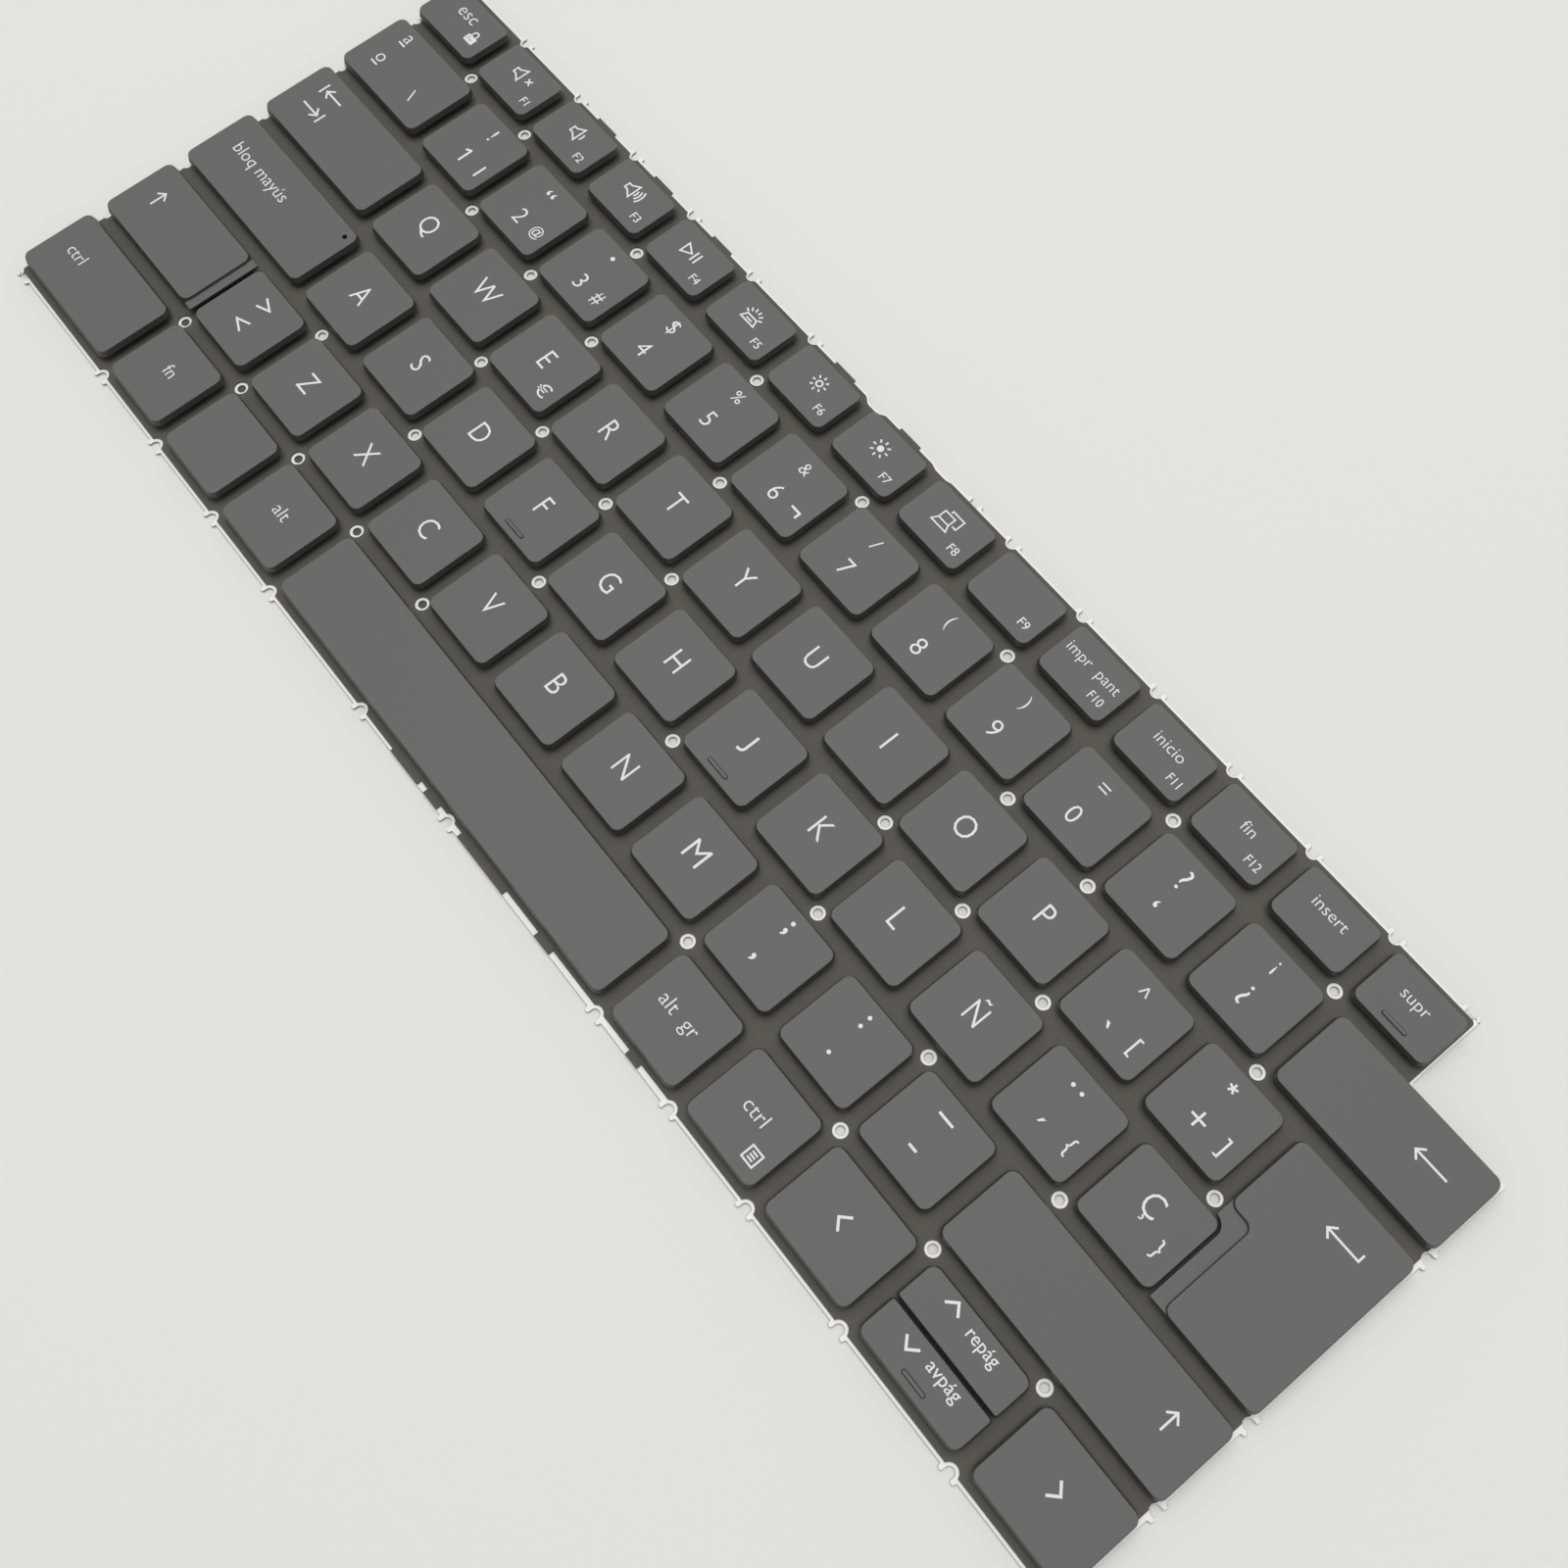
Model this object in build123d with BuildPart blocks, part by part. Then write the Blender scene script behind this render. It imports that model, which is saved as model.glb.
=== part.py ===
"""Laptop replacement keyboard: slim key caps on rubber domes over a stamped support plate.

Millimetres, +Z up. The plate lies on XY with its underside at z = 0 and the origin at its middle.
X runs along the key rows, and +Y points to the function row.
"""

import os
from collections import namedtuple
from math import atan2, cos, degrees, radians, sin

from build123d import *

# Key grid
key_pitch = 19.05
row_pitch = 18.0
gap_x = 3.25
gap_y = 3.2
row_columns = (0.0, 1.5, 1.75, 1.25, 1.25)  # first regular key of rows 1 to 5, in pitches

# Keys with a width or depth of their own
degree_width = 24.0
backspace_width = 32.75
escape_width = 17.1
function_depth = 10.4
corner_width = 19.5  # free corner behind the backspace key, for a power button
left_arrow_width = 18.8
up_down_width = 21.4
up_down_gap = 0.8
ledge_gap = 0.7  # between the enter key's low ledge and the next cap
shift_ledge_gap = 1.4  # between the short shift key's ledge and the next cap

# Cap section
cap_height = 1.2
cap_roof = 0.7
cap_wall = 0.9
cap_flare = 0.3  # how far the drafted walls stand out at their foot
corner_radius = 1.5
small_radius = 0.45
ledge_drop = 0.6
corner_angles = (0, 45, 90)
bar_length = 5.0
bar_width = 0.6
bar_height = 0.25
bar_inset = 1.6
light_hole_radius = 0.4
light_hole_inset = 2.0

# Layers under the caps
plate_thickness = 0.5
membrane_thickness = 0.35
travel = 1.3
landing_gap = 0.15
dome_base_radius = 2.4
dome_top_radius = 1.4
dome_clearance = 0.1

# Plate and membrane outline
left_margin = 0.3
right_margin = 0.95
front_margin = 2.2
back_margin = 2.4
corner_margin = 1.1
membrane_inset = 1.0
tab_overhang = 0.05  # what a membrane tab keeps clear of the plate's rim

# Stake holes, and the notches along the rim with an ear on each side
stake_radius = 0.75
stake_ring = 0.55
notch_width = 2.2
notch_depth = 1.0
ear_width = 0.8
ear_length = 0.7

# Wide dips of the back rim, which have no ears
dip_width = 6.0
dip_floor = 2.0
dip_depths = {"f6": 0.9, "f7": 0.4}  # by the key on their left
lone_notch_shift = -1.1  # from the middle of the key behind which a notch stands alone

# Heights of the stack
membrane_top = plate_thickness + membrane_thickness
cap_bottom = membrane_top + travel + landing_gap
cap_top = cap_bottom + cap_height
cap_draft = degrees(atan2(cap_flare, cap_height))
pocket_depth = cap_height - cap_roof
dome_height = travel + landing_gap + pocket_depth - dome_clearance

# Key spans: left, right, front and back edge of each cap's top
Key = namedtuple("Key", "left right front back")
cap_width = key_pitch - gap_x
cap_depth = row_pitch - gap_y
row_names = (
    "degree 1 2 3 4 5 6 7 8 9 0 apostrophe question",
    "q w e r t y u i o p grave plus",
    "a s d f g h j k l n_tilde acute c_cedilla",
    "less_than z x c v b n m comma period minus",
    "fn super alt",
)
function_names = "escape f1 f2 f3 f4 f5 f6 f7 f8 f9 f10 f11 f12 insert delete".split()

number_row = row_names[0].split()
last_column = len(number_row) - 1
grid_left = key_pitch - cap_width / 2 - gap_x - degree_width
grid_right = last_column * key_pitch + cap_width / 2 + gap_x + backspace_width
column_zero = -(grid_left - left_margin + grid_right + right_margin) / 2
field_left = grid_left + column_zero
field_right = grid_right + column_zero
field_depth = function_depth + len(row_names) * row_pitch
plate_depth = field_depth + front_margin + back_margin
field_back = plate_depth / 2 - back_margin


def column_x(column):
    """X of a place on the key grid, in pitches from column zero."""
    return column_zero + column * key_pitch


def row_front(row):
    """Y of the front edge of a row of caps; row 0 is the function row."""
    return field_back - function_depth - row * row_pitch


def span(left, right, row):
    """A full-depth key in one of rows 1 to 5."""
    return Key(left, right, row_front(row), row_front(row) + cap_depth)


def regular(column, row):
    """A key of one pitch, centred on a place of the grid."""
    return span(column_x(column) - cap_width / 2, column_x(column) + cap_width / 2, row)


keys = {}
for row, names in enumerate(row_names, start=1):
    for index, name in enumerate(names.split()):
        keys[name] = regular(row_columns[row - 1] + index, row)
keys["alt_gr"] = regular(row_columns[-1] + 8, 5)
keys["ctrl_right"] = regular(row_columns[-1] + 9, 5)

keys["degree"] = span(field_left, keys["1"].left - gap_x, 1)
keys["backspace"] = span(keys["question"].right + gap_x, field_right, 1)
keys["tab"] = span(field_left, keys["q"].left - gap_x, 2)
keys["caps_lock"] = span(field_left, keys["a"].left - gap_x, 3)
keys["shift_left"] = span(field_left, keys["less_than"].left - gap_x, 4)
keys["shift_right"] = span(keys["minus"].right + gap_x, field_right, 4)
keys["ctrl_left"] = span(field_left, keys["fn"].left - gap_x, 5)
keys["space"] = span(keys["alt"].right + gap_x, keys["alt_gr"].left - gap_x, 5)
keys["enter"] = Key(keys["plus"].right + gap_x, field_right, row_front(3), row_front(2) + cap_depth)

arrow_left = keys["ctrl_right"].right + gap_x
arrow_middle = arrow_left + left_arrow_width + gap_x
arrow_right = arrow_middle + up_down_width + gap_x
half_depth = (cap_depth - up_down_gap) / 2
keys["arrow_left"] = span(arrow_left, arrow_left + left_arrow_width, 5)
keys["arrow_right"] = span(arrow_right, field_right, 5)
arrows = span(arrow_middle, arrow_middle + up_down_width, 5)
keys["arrow_up"] = arrows._replace(front=arrows.back - half_depth)
keys["arrow_down"] = arrows._replace(back=arrows.front + half_depth)

function_left = field_left + escape_width + gap_x
function_right = field_right - corner_width
function_pitch = (function_right - function_left + gap_x) / (len(function_names) - 1)
for index, name in enumerate(function_names):
    left = function_left + (index - 1) * function_pitch
    keys[name] = Key(left, left + function_pitch - gap_x, row_front(0), field_back)
keys["escape"] = keys["escape"]._replace(left=field_left)

fixed_keys = function_names + number_row
moving_keys = [name for name in keys if name not in fixed_keys]
barred_keys = ("f", "j", "delete", "arrow_down")


def corner(x, y, radius, start, turn=1):
    """Points of a rounded corner about its centre; turn -1 runs clockwise."""
    angles = [radians(start + turn * angle) for angle in corner_angles]
    return [(x + radius * cos(angle), y + radius * sin(angle)) for angle in angles]


def cap_outline(key, front, back):
    """Rounded rectangle of a cap's foot, from its front and back corner radii at the top."""
    return (
        corner(key.right - back, key.back - back, back + cap_flare, 0)
        + corner(key.left + back, key.back - back, back + cap_flare, 90)
        + corner(key.left + front, key.front + front, front + cap_flare, 180)
        + corner(key.right - front, key.front + front, front + cap_flare, 270)
    )


enter = keys["enter"]
enter_step = row_front(2)
enter_inner = keys["c_cedilla"].right + gap_x
enter_ledge = keys["c_cedilla"].right + ledge_gap


def enter_outline():
    """Foot of the raised enter key: its back half reaches further left than its front half."""
    radius = corner_radius
    outer = radius + cap_flare
    return (
        corner(enter.right - radius, enter.back - radius, outer, 0)
        + corner(enter.left + radius, enter.back - radius, outer, 90)
        + corner(enter.left + radius, enter_step + radius, outer, 180)
        + corner(enter_inner - radius, enter_step - radius, radius - cap_flare, 90, turn=-1)
        + corner(enter_inner + radius, enter.front + radius, outer, 180)
        + corner(enter.right - radius, enter.front + radius, outer, 270)
    )


def enter_ledge_outline():
    """Low ledge of the enter key, running round the corner of the cap beside it."""
    beside = keys["c_cedilla"]
    reach = corner_radius + ledge_gap
    bend = corner(beside.right - corner_radius, beside.back - corner_radius, reach, 90, turn=-1)
    return (
        [(enter.left, enter_step + corner_radius)]
        + [(enter.left, bend[0][1])]
        + bend
        + [(enter_ledge, enter.front), (enter_inner + corner_radius, enter.front)]
        + [(enter_inner + corner_radius, enter_step + corner_radius)]
    )


def shift_ledge_outline():
    """Low ledge along the right side of the short shift key."""
    key = keys["shift_left"]
    edge = keys["less_than"].left - shift_ledge_gap
    inside = key.right - corner_radius
    return [(inside, key.front), (edge, key.front), (edge, key.back), (inside, key.back)]


def cap_pockets(name, key):
    """Rectangles of the hollow underside, as left, right, front and back."""
    inner = Key(key.left + cap_wall, key.right - cap_wall, key.front + cap_wall, key.back - cap_wall)
    if name != "enter":
        return [inner]
    behind = inner._replace(front=enter_step + cap_wall)
    return [behind, inner._replace(left=enter_inner + cap_wall)]


def cap_shape(name):
    """Foot outline and ledge outline of one cap."""
    key = keys[name]
    if name == "enter":
        return enter_outline(), enter_ledge_outline()
    front = small_radius if name == "arrow_up" else corner_radius
    back = small_radius if name == "arrow_down" or name in function_names else corner_radius
    ledge = shift_ledge_outline() if name == "shift_left" else None
    return cap_outline(key, front, back), ledge


def make_caps(label, names):
    """One node of moulded caps: drafted walls, hollow underside, and any ledge, bar or light hole."""
    with BuildPart() as caps:
        for name in names:
            key = keys[name]
            middle = ((key.left + key.right) / 2, (key.front + key.back) / 2)
            foot, ledge = cap_shape(name)
            with BuildSketch(Plane.XY.offset(cap_bottom)):
                with BuildLine():
                    Polyline(*foot, close=True)
                make_face()
            extrude(amount=cap_height, taper=cap_draft)
            if ledge:
                with BuildSketch(Plane.XY.offset(cap_bottom)):
                    with BuildLine():
                        Polyline(*ledge, close=True)
                    make_face()
                extrude(amount=cap_height - ledge_drop)
            with BuildSketch(Plane.XY.offset(cap_bottom)):
                for pocket in cap_pockets(name, key):
                    with Locations(((pocket.left + pocket.right) / 2, (pocket.front + pocket.back) / 2)):
                        Rectangle(pocket.right - pocket.left, pocket.back - pocket.front)
            extrude(amount=pocket_depth, mode=Mode.SUBTRACT)
            if name in barred_keys:
                with BuildSketch(Plane.XY.offset(cap_top)):
                    with Locations((middle[0], key.front + bar_inset)):
                        Rectangle(bar_length, bar_width)
                extrude(amount=bar_height)
            if name == "caps_lock":
                with BuildSketch(Plane.XY.offset(cap_top)):
                    with Locations((key.right - light_hole_inset, key.back - light_hole_inset)):
                        Circle(light_hole_radius)
                extrude(amount=-cap_roof, mode=Mode.SUBTRACT)
    caps.part.label = label
    export_step(caps.part, f"parts/{label}.step")


# Plate outline, and the places of holes and notches between the keys
plate_left = field_left - left_margin
plate_right = field_right + right_margin
plate_front = -plate_depth / 2
plate_back = plate_depth / 2
corner_x = function_right + corner_margin
corner_y = row_front(0) - gap_y + corner_margin

upper_drop = 0.7  # stake hole below the front edge of the caps behind it
lower_drop = gap_y - 1.2
middle_drop = gap_y / 2

function_gaps = [keys[name].right + gap_x / 2 for name in function_names[:-1]]
arrow_gaps = [keys[name].right + gap_x / 2 for name in ("arrow_left", "arrow_up")]
locating_columns = ((1, upper_drop, (1.5, 12.5)), (4, middle_drop, (1.75, 10.75)))
plain_columns = (
    (0, lower_drop, (6.5, 8.5)),
    (1, upper_drop, (2.5, 3.5, 5.5, 9.5, 10.5)),
    (2, upper_drop, (3, 4, 5, 6, 9, 10, 11, 13)),
    (3, upper_drop, (3.25, 5.25, 7.25, 9.25, 12.25)),
    (3, lower_drop, (1.75, 10.75)),
    (4, middle_drop, (2.75, 3.75, 8.75)),
    (4, upper_drop, (4.75,)),
    (4, lower_drop, (0.75,)),
)


def stakes_between_rows(table):
    """Places of stake holes in front of a row: its number, the drop below its caps, and the columns."""
    return [(column_x(column), row_front(row) - drop) for row, drop, columns in table for column in columns]


locating_stakes = stakes_between_rows(locating_columns)
locating_stakes += [(function_gaps[index], row_front(0) - upper_drop) for index in (1, 13)]
plain_stakes = stakes_between_rows(plain_columns)
plain_stakes += [(function_gaps[index], row_front(0) - upper_drop) for index in (0, 3, 5, 11)]
plain_stakes += [(x, row_front(4) - lower_drop) for x in arrow_gaps]

front_columns = (0.75, 1.75, 2.75, 3.75, 5.25, 6.6, 8.75, 9.75, 10.75)
end_inset = notch_width / 2 + ear_width
front_notches = [column_x(column) for column in front_columns] + arrow_gaps + [plate_left + end_inset]
back_notches = [x for x, name in zip(function_gaps, function_names) if name not in dip_depths]
back_notches += [(keys["f8"].left + keys["f8"].right) / 2 + lone_notch_shift, corner_x - end_inset]
left_notches = [row_front(row) - upper_drop for row in range(5)]
right_notches = [row_front(row) - upper_drop for row in (1, 3, 4)]
rim_notches = [(x, plate_front, 0) for x in front_notches] + [(x, plate_back, 0) for x in back_notches]
rim_notches += [(plate_left, y, 90) for y in left_notches] + [(plate_right, y, 90) for y in right_notches]


def dip_outline(name):
    """Wide dip with sloping ends in the back rim, to the right of a key."""
    x, depth = keys[name].right + gap_x / 2, dip_depths[name]
    low, wide, deep = dip_floor / 2, dip_width / 2, plate_back - depth
    return [(x - wide, plate_back), (x - low, deep), (x + low, deep), (x + wide, plate_back)]


def plate_corners(inset):
    """Corners of the plate's outline, moved inwards; the power button's corner is left out."""
    return [
        (plate_left + inset, plate_front + inset),
        (plate_right - inset, plate_front + inset),
        (plate_right - inset, corner_y - inset),
        (corner_x - inset, corner_y - inset),
        (corner_x - inset, plate_back - inset),
        (plate_left + inset, plate_back - inset),
    ]


os.makedirs("parts", exist_ok=True)

# Support plate: stamped sheet with stake holes, and notches with ears along its rim
# The locating holes are true bores, and the rest have eight sides, which keeps the facets few
with BuildPart() as base_plate:
    with BuildSketch():
        with BuildLine():
            Polyline(*plate_corners(0), close=True)
        make_face()
        for x, y, turn in rim_notches:
            with Locations(Location((x, y, 0), turn)):
                Rectangle(notch_width + 2 * ear_width, 2 * ear_length)
        for x, y, turn in rim_notches:
            with Locations(Location((x, y, 0), turn)):
                Rectangle(notch_width, 2 * notch_depth, mode=Mode.SUBTRACT)
        for name in dip_depths:
            with BuildLine():
                Polyline(*dip_outline(name), close=True)
            make_face(mode=Mode.SUBTRACT)
        with Locations(*locating_stakes):
            Circle(stake_radius, mode=Mode.SUBTRACT)
        with Locations(*plain_stakes):
            RegularPolygon(stake_radius, side_count=8, mode=Mode.SUBTRACT)
    extrude(amount=plate_thickness)
base_plate.part.label = "base_plate"
export_step(base_plate.part, "parts/base_plate.step")

# Switch membrane: dark film with a ring opening round each stake hole, and tabs that reach the rim
front_tabs = ((5.95, 7.8), (6.35, 3.8), (7.1, 12.7), (8.0, 4.0), (9.25, 3.0))
back_tabs = ("f2", "f3", "f4", "f6", "f7")
back_tab_width = 5.2
tab_depth = membrane_inset - tab_overhang
with BuildPart() as switch_membrane:
    with BuildSketch(Plane.XY.offset(plate_thickness)):
        with BuildLine():
            Polyline(*plate_corners(membrane_inset), close=True)
        make_face()
        for column, width in front_tabs:
            with Locations((column_x(column), plate_front + membrane_inset)):
                Rectangle(width, 2 * tab_depth)
        for name in back_tabs:
            with Locations(((keys[name].left + keys[name].right) / 2, plate_back - membrane_inset)):
                Rectangle(back_tab_width, 2 * tab_depth)
        for x, y, turn in rim_notches:
            with Locations(Location((x, y, 0), turn)):
                Rectangle(notch_width, 2 * notch_depth, mode=Mode.SUBTRACT)
        with Locations(*locating_stakes, *plain_stakes):
            RegularPolygon(stake_radius + stake_ring, side_count=8, mode=Mode.SUBTRACT)
    extrude(amount=membrane_thickness)
switch_membrane.part.label = "switch_membrane"
export_step(switch_membrane.part, "parts/switch_membrane.step")

# Rubber domes: one return spring under the middle of each cap
dome_slope = degrees(atan2((dome_base_radius - dome_top_radius) * cos(radians(30)), dome_height))
dome_spots = []
for name, key in keys.items():
    left = enter_inner if name == "enter" else key.left
    dome_spots.append(((left + key.right) / 2, (key.front + key.back) / 2))
with BuildPart() as rubber_domes:
    with BuildSketch(Plane.XY.offset(membrane_top)):
        with Locations(*dome_spots):
            RegularPolygon(dome_base_radius, side_count=6)
    extrude(amount=dome_height, taper=dome_slope)
rubber_domes.part.label = "rubber_domes"
export_step(rubber_domes.part, "parts/rubber_domes.step")

# Key caps: one node for each key that moves, and one for each row of like caps past the file limit
make_caps("function_row_caps", function_names)
make_caps("number_row_caps", number_row)
for name in moving_keys:
    make_caps(f"key_{name}", [name])
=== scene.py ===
"""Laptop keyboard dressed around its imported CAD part: plate, film, lifts, caps with legends, and a stage.

Shapes are worked out in millimetres as numpy arrays, and their meshes are written in metres.
"""

from collections import namedtuple

import bpy
import numpy as np
from mathutils import Matrix


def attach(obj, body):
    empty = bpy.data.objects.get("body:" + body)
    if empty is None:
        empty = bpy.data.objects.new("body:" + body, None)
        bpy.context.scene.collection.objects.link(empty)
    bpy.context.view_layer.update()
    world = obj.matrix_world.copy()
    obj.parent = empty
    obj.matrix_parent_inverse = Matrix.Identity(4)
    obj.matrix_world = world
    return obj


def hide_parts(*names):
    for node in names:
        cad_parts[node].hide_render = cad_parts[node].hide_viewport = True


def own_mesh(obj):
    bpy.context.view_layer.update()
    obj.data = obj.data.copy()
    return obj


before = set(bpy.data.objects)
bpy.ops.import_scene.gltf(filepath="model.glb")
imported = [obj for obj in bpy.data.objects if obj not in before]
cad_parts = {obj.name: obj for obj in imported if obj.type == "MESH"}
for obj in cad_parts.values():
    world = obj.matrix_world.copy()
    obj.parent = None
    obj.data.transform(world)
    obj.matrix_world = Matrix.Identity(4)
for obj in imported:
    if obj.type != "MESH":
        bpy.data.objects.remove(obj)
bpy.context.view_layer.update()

bl_info = {
    "name": "Laptop keyboard",
    "version": (1, 0, 0),
    "blender": (4, 5, 0),
    "location": "3D View > Sidebar > Keyboard",
    "description": "Plate, film, lifts, caps and legends of a laptop replacement keyboard",
    "category": "Object",
}

MM = 0.001

# Sizes of the caps
CORNER_RADIUS = 1.5
SMALL_RADIUS = 0.45
FUNCTION_RADIUS = 1.15  # at the back of the function keys
LEAST_RADIUS = 0.05
CLOSE = 0.05  # how near a CAD point counts as on a line
CAP_WALL = 0.9
LEDGE_GAP = 0.7
SHIFT_LEDGE_GAP = 1.4
LEDGE_DROP = 0.6
BAR_LENGTH = 5.0
BAR_WIDTH = 0.86
BAR_INSET = 1.6
BAR_EDGE = 0.05
BAR_SLOPE = 0.14
LIGHT_HOLE_RADIUS = 0.5
LIGHT_HOLE_INSET = 2.0
CUT_ABOVE = 1.0  # how far a cutter stands out of a cap
CORNER_STEPS = 6
EDGE_STEPS = 4
SHARP_ANGLE = 35
STEEP = 0.75  # height of the normal below which a face counts as a side

# Sizes of the plate's rim, the film's edge and the stake holes
EAR_LENGTH = 0.7
EAR_TIP = 0.38  # radius of an ear's outer corners
EAR_ROOT = 0.2  # radius where an ear meets the rim
EAR_STEPS = 4
ROOT_STEPS = 3
NOTCH_DEPTH = 1.0
PLATE_CORNER = 0.6
PLATE_BEVEL = 0.12
FILM_CORNER = 0.8
FILM_BEVEL = 0.04
FILM_INSETS = {"left": 0.55, "right": 0.9, "front": 0.55, "back": 0.6, "step": 0.45}
BITE_RINGS = {"left": 0.1, "right": 0.2, "front": 0.6, "back": 0.4}
BITE_REACH = 1.0  # from a notch to the film before and after it
BITE_STEPS = 12
BARE_INSET = 1.0  # of the film where the front rim shows as wide strips
CORNER_REACH = 5.0  # no bite of the film is nearer to a corner
DIP_WIDTH = 6.0
DIP_FLOOR = 2.0
DIP_DEPTHS = (0.9, 0.4)
STAKE_RADIUS = 0.75
STAKE_RING = 0.55
RING_SIDES = 8  # of a ring opening in the CAD film
# Dark discs in the front-left stake holes: painted shade that stands in for the shade inside those holes
SHADE_DISC_BOTTOM = 0.02
SHADE_DISC_TOP = 0.12
HOLE_STEPS = 28
DIP_STEPS = 25

FUNCTION_NAMES = "escape f1 f2 f3 f4 f5 f6 f7 f8 f9 f10 f11 f12 insert delete".split()
NUMBER_NAMES = "degree 1 2 3 4 5 6 7 8 9 0 apostrophe question".split()
BARRED_NAMES = ("f", "j", "delete", "arrow_down")
MOVING_NAMES = sorted(name[4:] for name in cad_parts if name.startswith("key_"))

Key = namedtuple("Key", "left right front back")
Shape = namedtuple("Shape", "points faces")
# Side, x and y place a legend, stretch widens it, and bold thickens its strokes
Mark = namedtuple("Mark", "text height side x y stretch bold", defaults=(1.0, 0.0))


def linear(code):
    """Linear colour of an sRGB hex value, with full alpha."""
    value = np.array([int(code[start : start + 2], 16) for start in (0, 2, 4)]) / 255
    curve = np.where(value <= 0.04045, value / 12.92, ((value + 0.055) / 1.055) ** 2.4)
    return (*curve.tolist(), 1.0)


RGBA = {"size": 4, "min": 0, "max": 1}


class KeyboardSizes(bpy.types.PropertyGroup):
    """Sizes of the dressed keyboard that a user may change."""

    cap_edge: bpy.props.FloatProperty(
        name="Cap edge",
        description="Radius between a cap's side and its flat top",
        default=0.12 * MM,
        unit="LENGTH",
    )
    letter_height: bpy.props.FloatProperty(
        name="Letters",
        description="Height of a capital letter on a cap",
        default=3.95 * MM,
        unit="LENGTH",
    )
    digit_height: bpy.props.FloatProperty(
        name="Digits",
        description="Height of a digit on the number row",
        default=3.3 * MM,
        unit="LENGTH",
    )
    sign_height: bpy.props.FloatProperty(
        name="Signs",
        description="Height of a capital in the size used for signs",
        default=2.9 * MM,
        unit="LENGTH",
    )
    word_height: bpy.props.FloatProperty(
        name="Words",
        description="Height of a tall letter in a word on a cap",
        default=2.45 * MM,
        unit="LENGTH",
    )
    label_height: bpy.props.FloatProperty(
        name="Function labels",
        description="Height of the small labels on the function row",
        default=1.62 * MM,
        unit="LENGTH",
    )
    ink_height: bpy.props.FloatProperty(
        name="Ink",
        description="How far the printed legends stand above a cap",
        default=0.02 * MM,
        unit="LENGTH",
    )
    ear_width: bpy.props.FloatProperty(
        name="Ear width",
        description="Width of the ears beside the plate's notches",
        default=0.9 * MM,
        unit="LENGTH",
    )
    notch_radius: bpy.props.FloatProperty(
        name="Notch radius",
        description="Radius of the round bottom of the plate's notches",
        default=0.85 * MM,
        unit="LENGTH",
    )
    scissor_bar: bpy.props.FloatProperty(
        name="Scissor bar",
        description="Thickness of the bars of the scissor frames",
        default=0.6 * MM,
        unit="LENGTH",
    )
    wire_diameter: bpy.props.FloatProperty(
        name="Wire",
        description="Diameter of the wire that keeps a wide key level",
        default=0.6 * MM,
        unit="LENGTH",
    )


class KeyboardColours(bpy.types.PropertyGroup):
    """Colours of the dressed keyboard, linear, that a user may change."""

    cap: bpy.props.FloatVectorProperty(
        name="Caps",
        description="Moulded key caps",
        default=linear("5f5f5b"),
        subtype="COLOR",
        **RGBA,
    )
    # Painted shade: a darker colour for the caps' upright sides, standing in for the shade they fall in
    cap_side: bpy.props.FloatVectorProperty(
        name="Cap sides",
        description="Upright sides of the key caps",
        default=linear("444440"),
        subtype="COLOR",
        **RGBA,
    )
    ink: bpy.props.FloatVectorProperty(
        name="Legends",
        description="Printed legends",
        default=linear("e6e7e3"),
        subtype="COLOR",
        **RGBA,
    )
    film: bpy.props.FloatVectorProperty(
        name="Film",
        description="Switch film under the caps",
        default=linear("57534b"),
        subtype="COLOR",
        **RGBA,
    )
    plate: bpy.props.FloatVectorProperty(
        name="Plate",
        description="Bare metal of the support plate",
        default=linear("eeedea"),
        subtype="COLOR",
        **RGBA,
    )
    # Painted shade: a dull grey for the plate's upright sides, standing in for the shade line round its rim
    rim_shade: bpy.props.FloatVectorProperty(
        name="Plate edge",
        description="Sheared edge of the support plate",
        default=linear("a3a19c"),
        subtype="COLOR",
        **RGBA,
    )
    dome: bpy.props.FloatVectorProperty(
        name="Domes",
        description="Rubber return domes",
        default=linear("8f8d88"),
        subtype="COLOR",
        **RGBA,
    )
    scissor: bpy.props.FloatVectorProperty(
        name="Scissors",
        description="Scissor frames under the caps",
        default=linear("77756f"),
        subtype="COLOR",
        **RGBA,
    )
    wire: bpy.props.FloatVectorProperty(
        name="Wires",
        description="Wires that keep the wide keys level",
        default=linear("c4c4c2"),
        subtype="COLOR",
        **RGBA,
    )
    floor: bpy.props.FloatVectorProperty(
        name="Floor",
        description="Pale table top",
        default=linear("e9e7e2"),
        subtype="COLOR",
        **RGBA,
    )


def size(name):
    """One of the user's sizes, in millimetres."""
    return getattr(bpy.context.scene.keyboard_sizes, name) / MM


def colour(name):
    """One of the user's colours, linear."""
    return tuple(getattr(bpy.context.scene.keyboard_colours, name))


# What the CAD solids give: heights, key spans, holes and notches


def cad_points(node):
    """Points of a CAD node's mesh, in millimetres, one row each."""
    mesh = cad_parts[node].data
    flat = np.zeros(3 * len(mesh.vertices))
    mesh.vertices.foreach_get("co", flat)
    return flat.reshape(-1, 3) / MM


CAP_BOTTOM, CEILING, CAP_TOP = np.unique(cad_points("key_q")[:, 2].round(3))
BAR_TOP = cad_points("key_f")[:, 2].max()
PLATE_TOP = cad_points("base_plate")[:, 2].max()
FILM_TOP = cad_points("switch_membrane")[:, 2].max()
LIFT_TOP = cad_points("rubber_domes")[:, 2].max()


def cap_flare():
    """How far a cap's foot stands out beyond its top, from one CAD cap."""
    points = cad_points("key_q")
    foot = np.ptp(points[points[:, 2] < CAP_BOTTOM + CLOSE, 0])
    top = np.ptp(points[points[:, 2] > CAP_TOP - CLOSE, 0])
    return (foot - top) / 2


FLARE = cap_flare()


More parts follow.
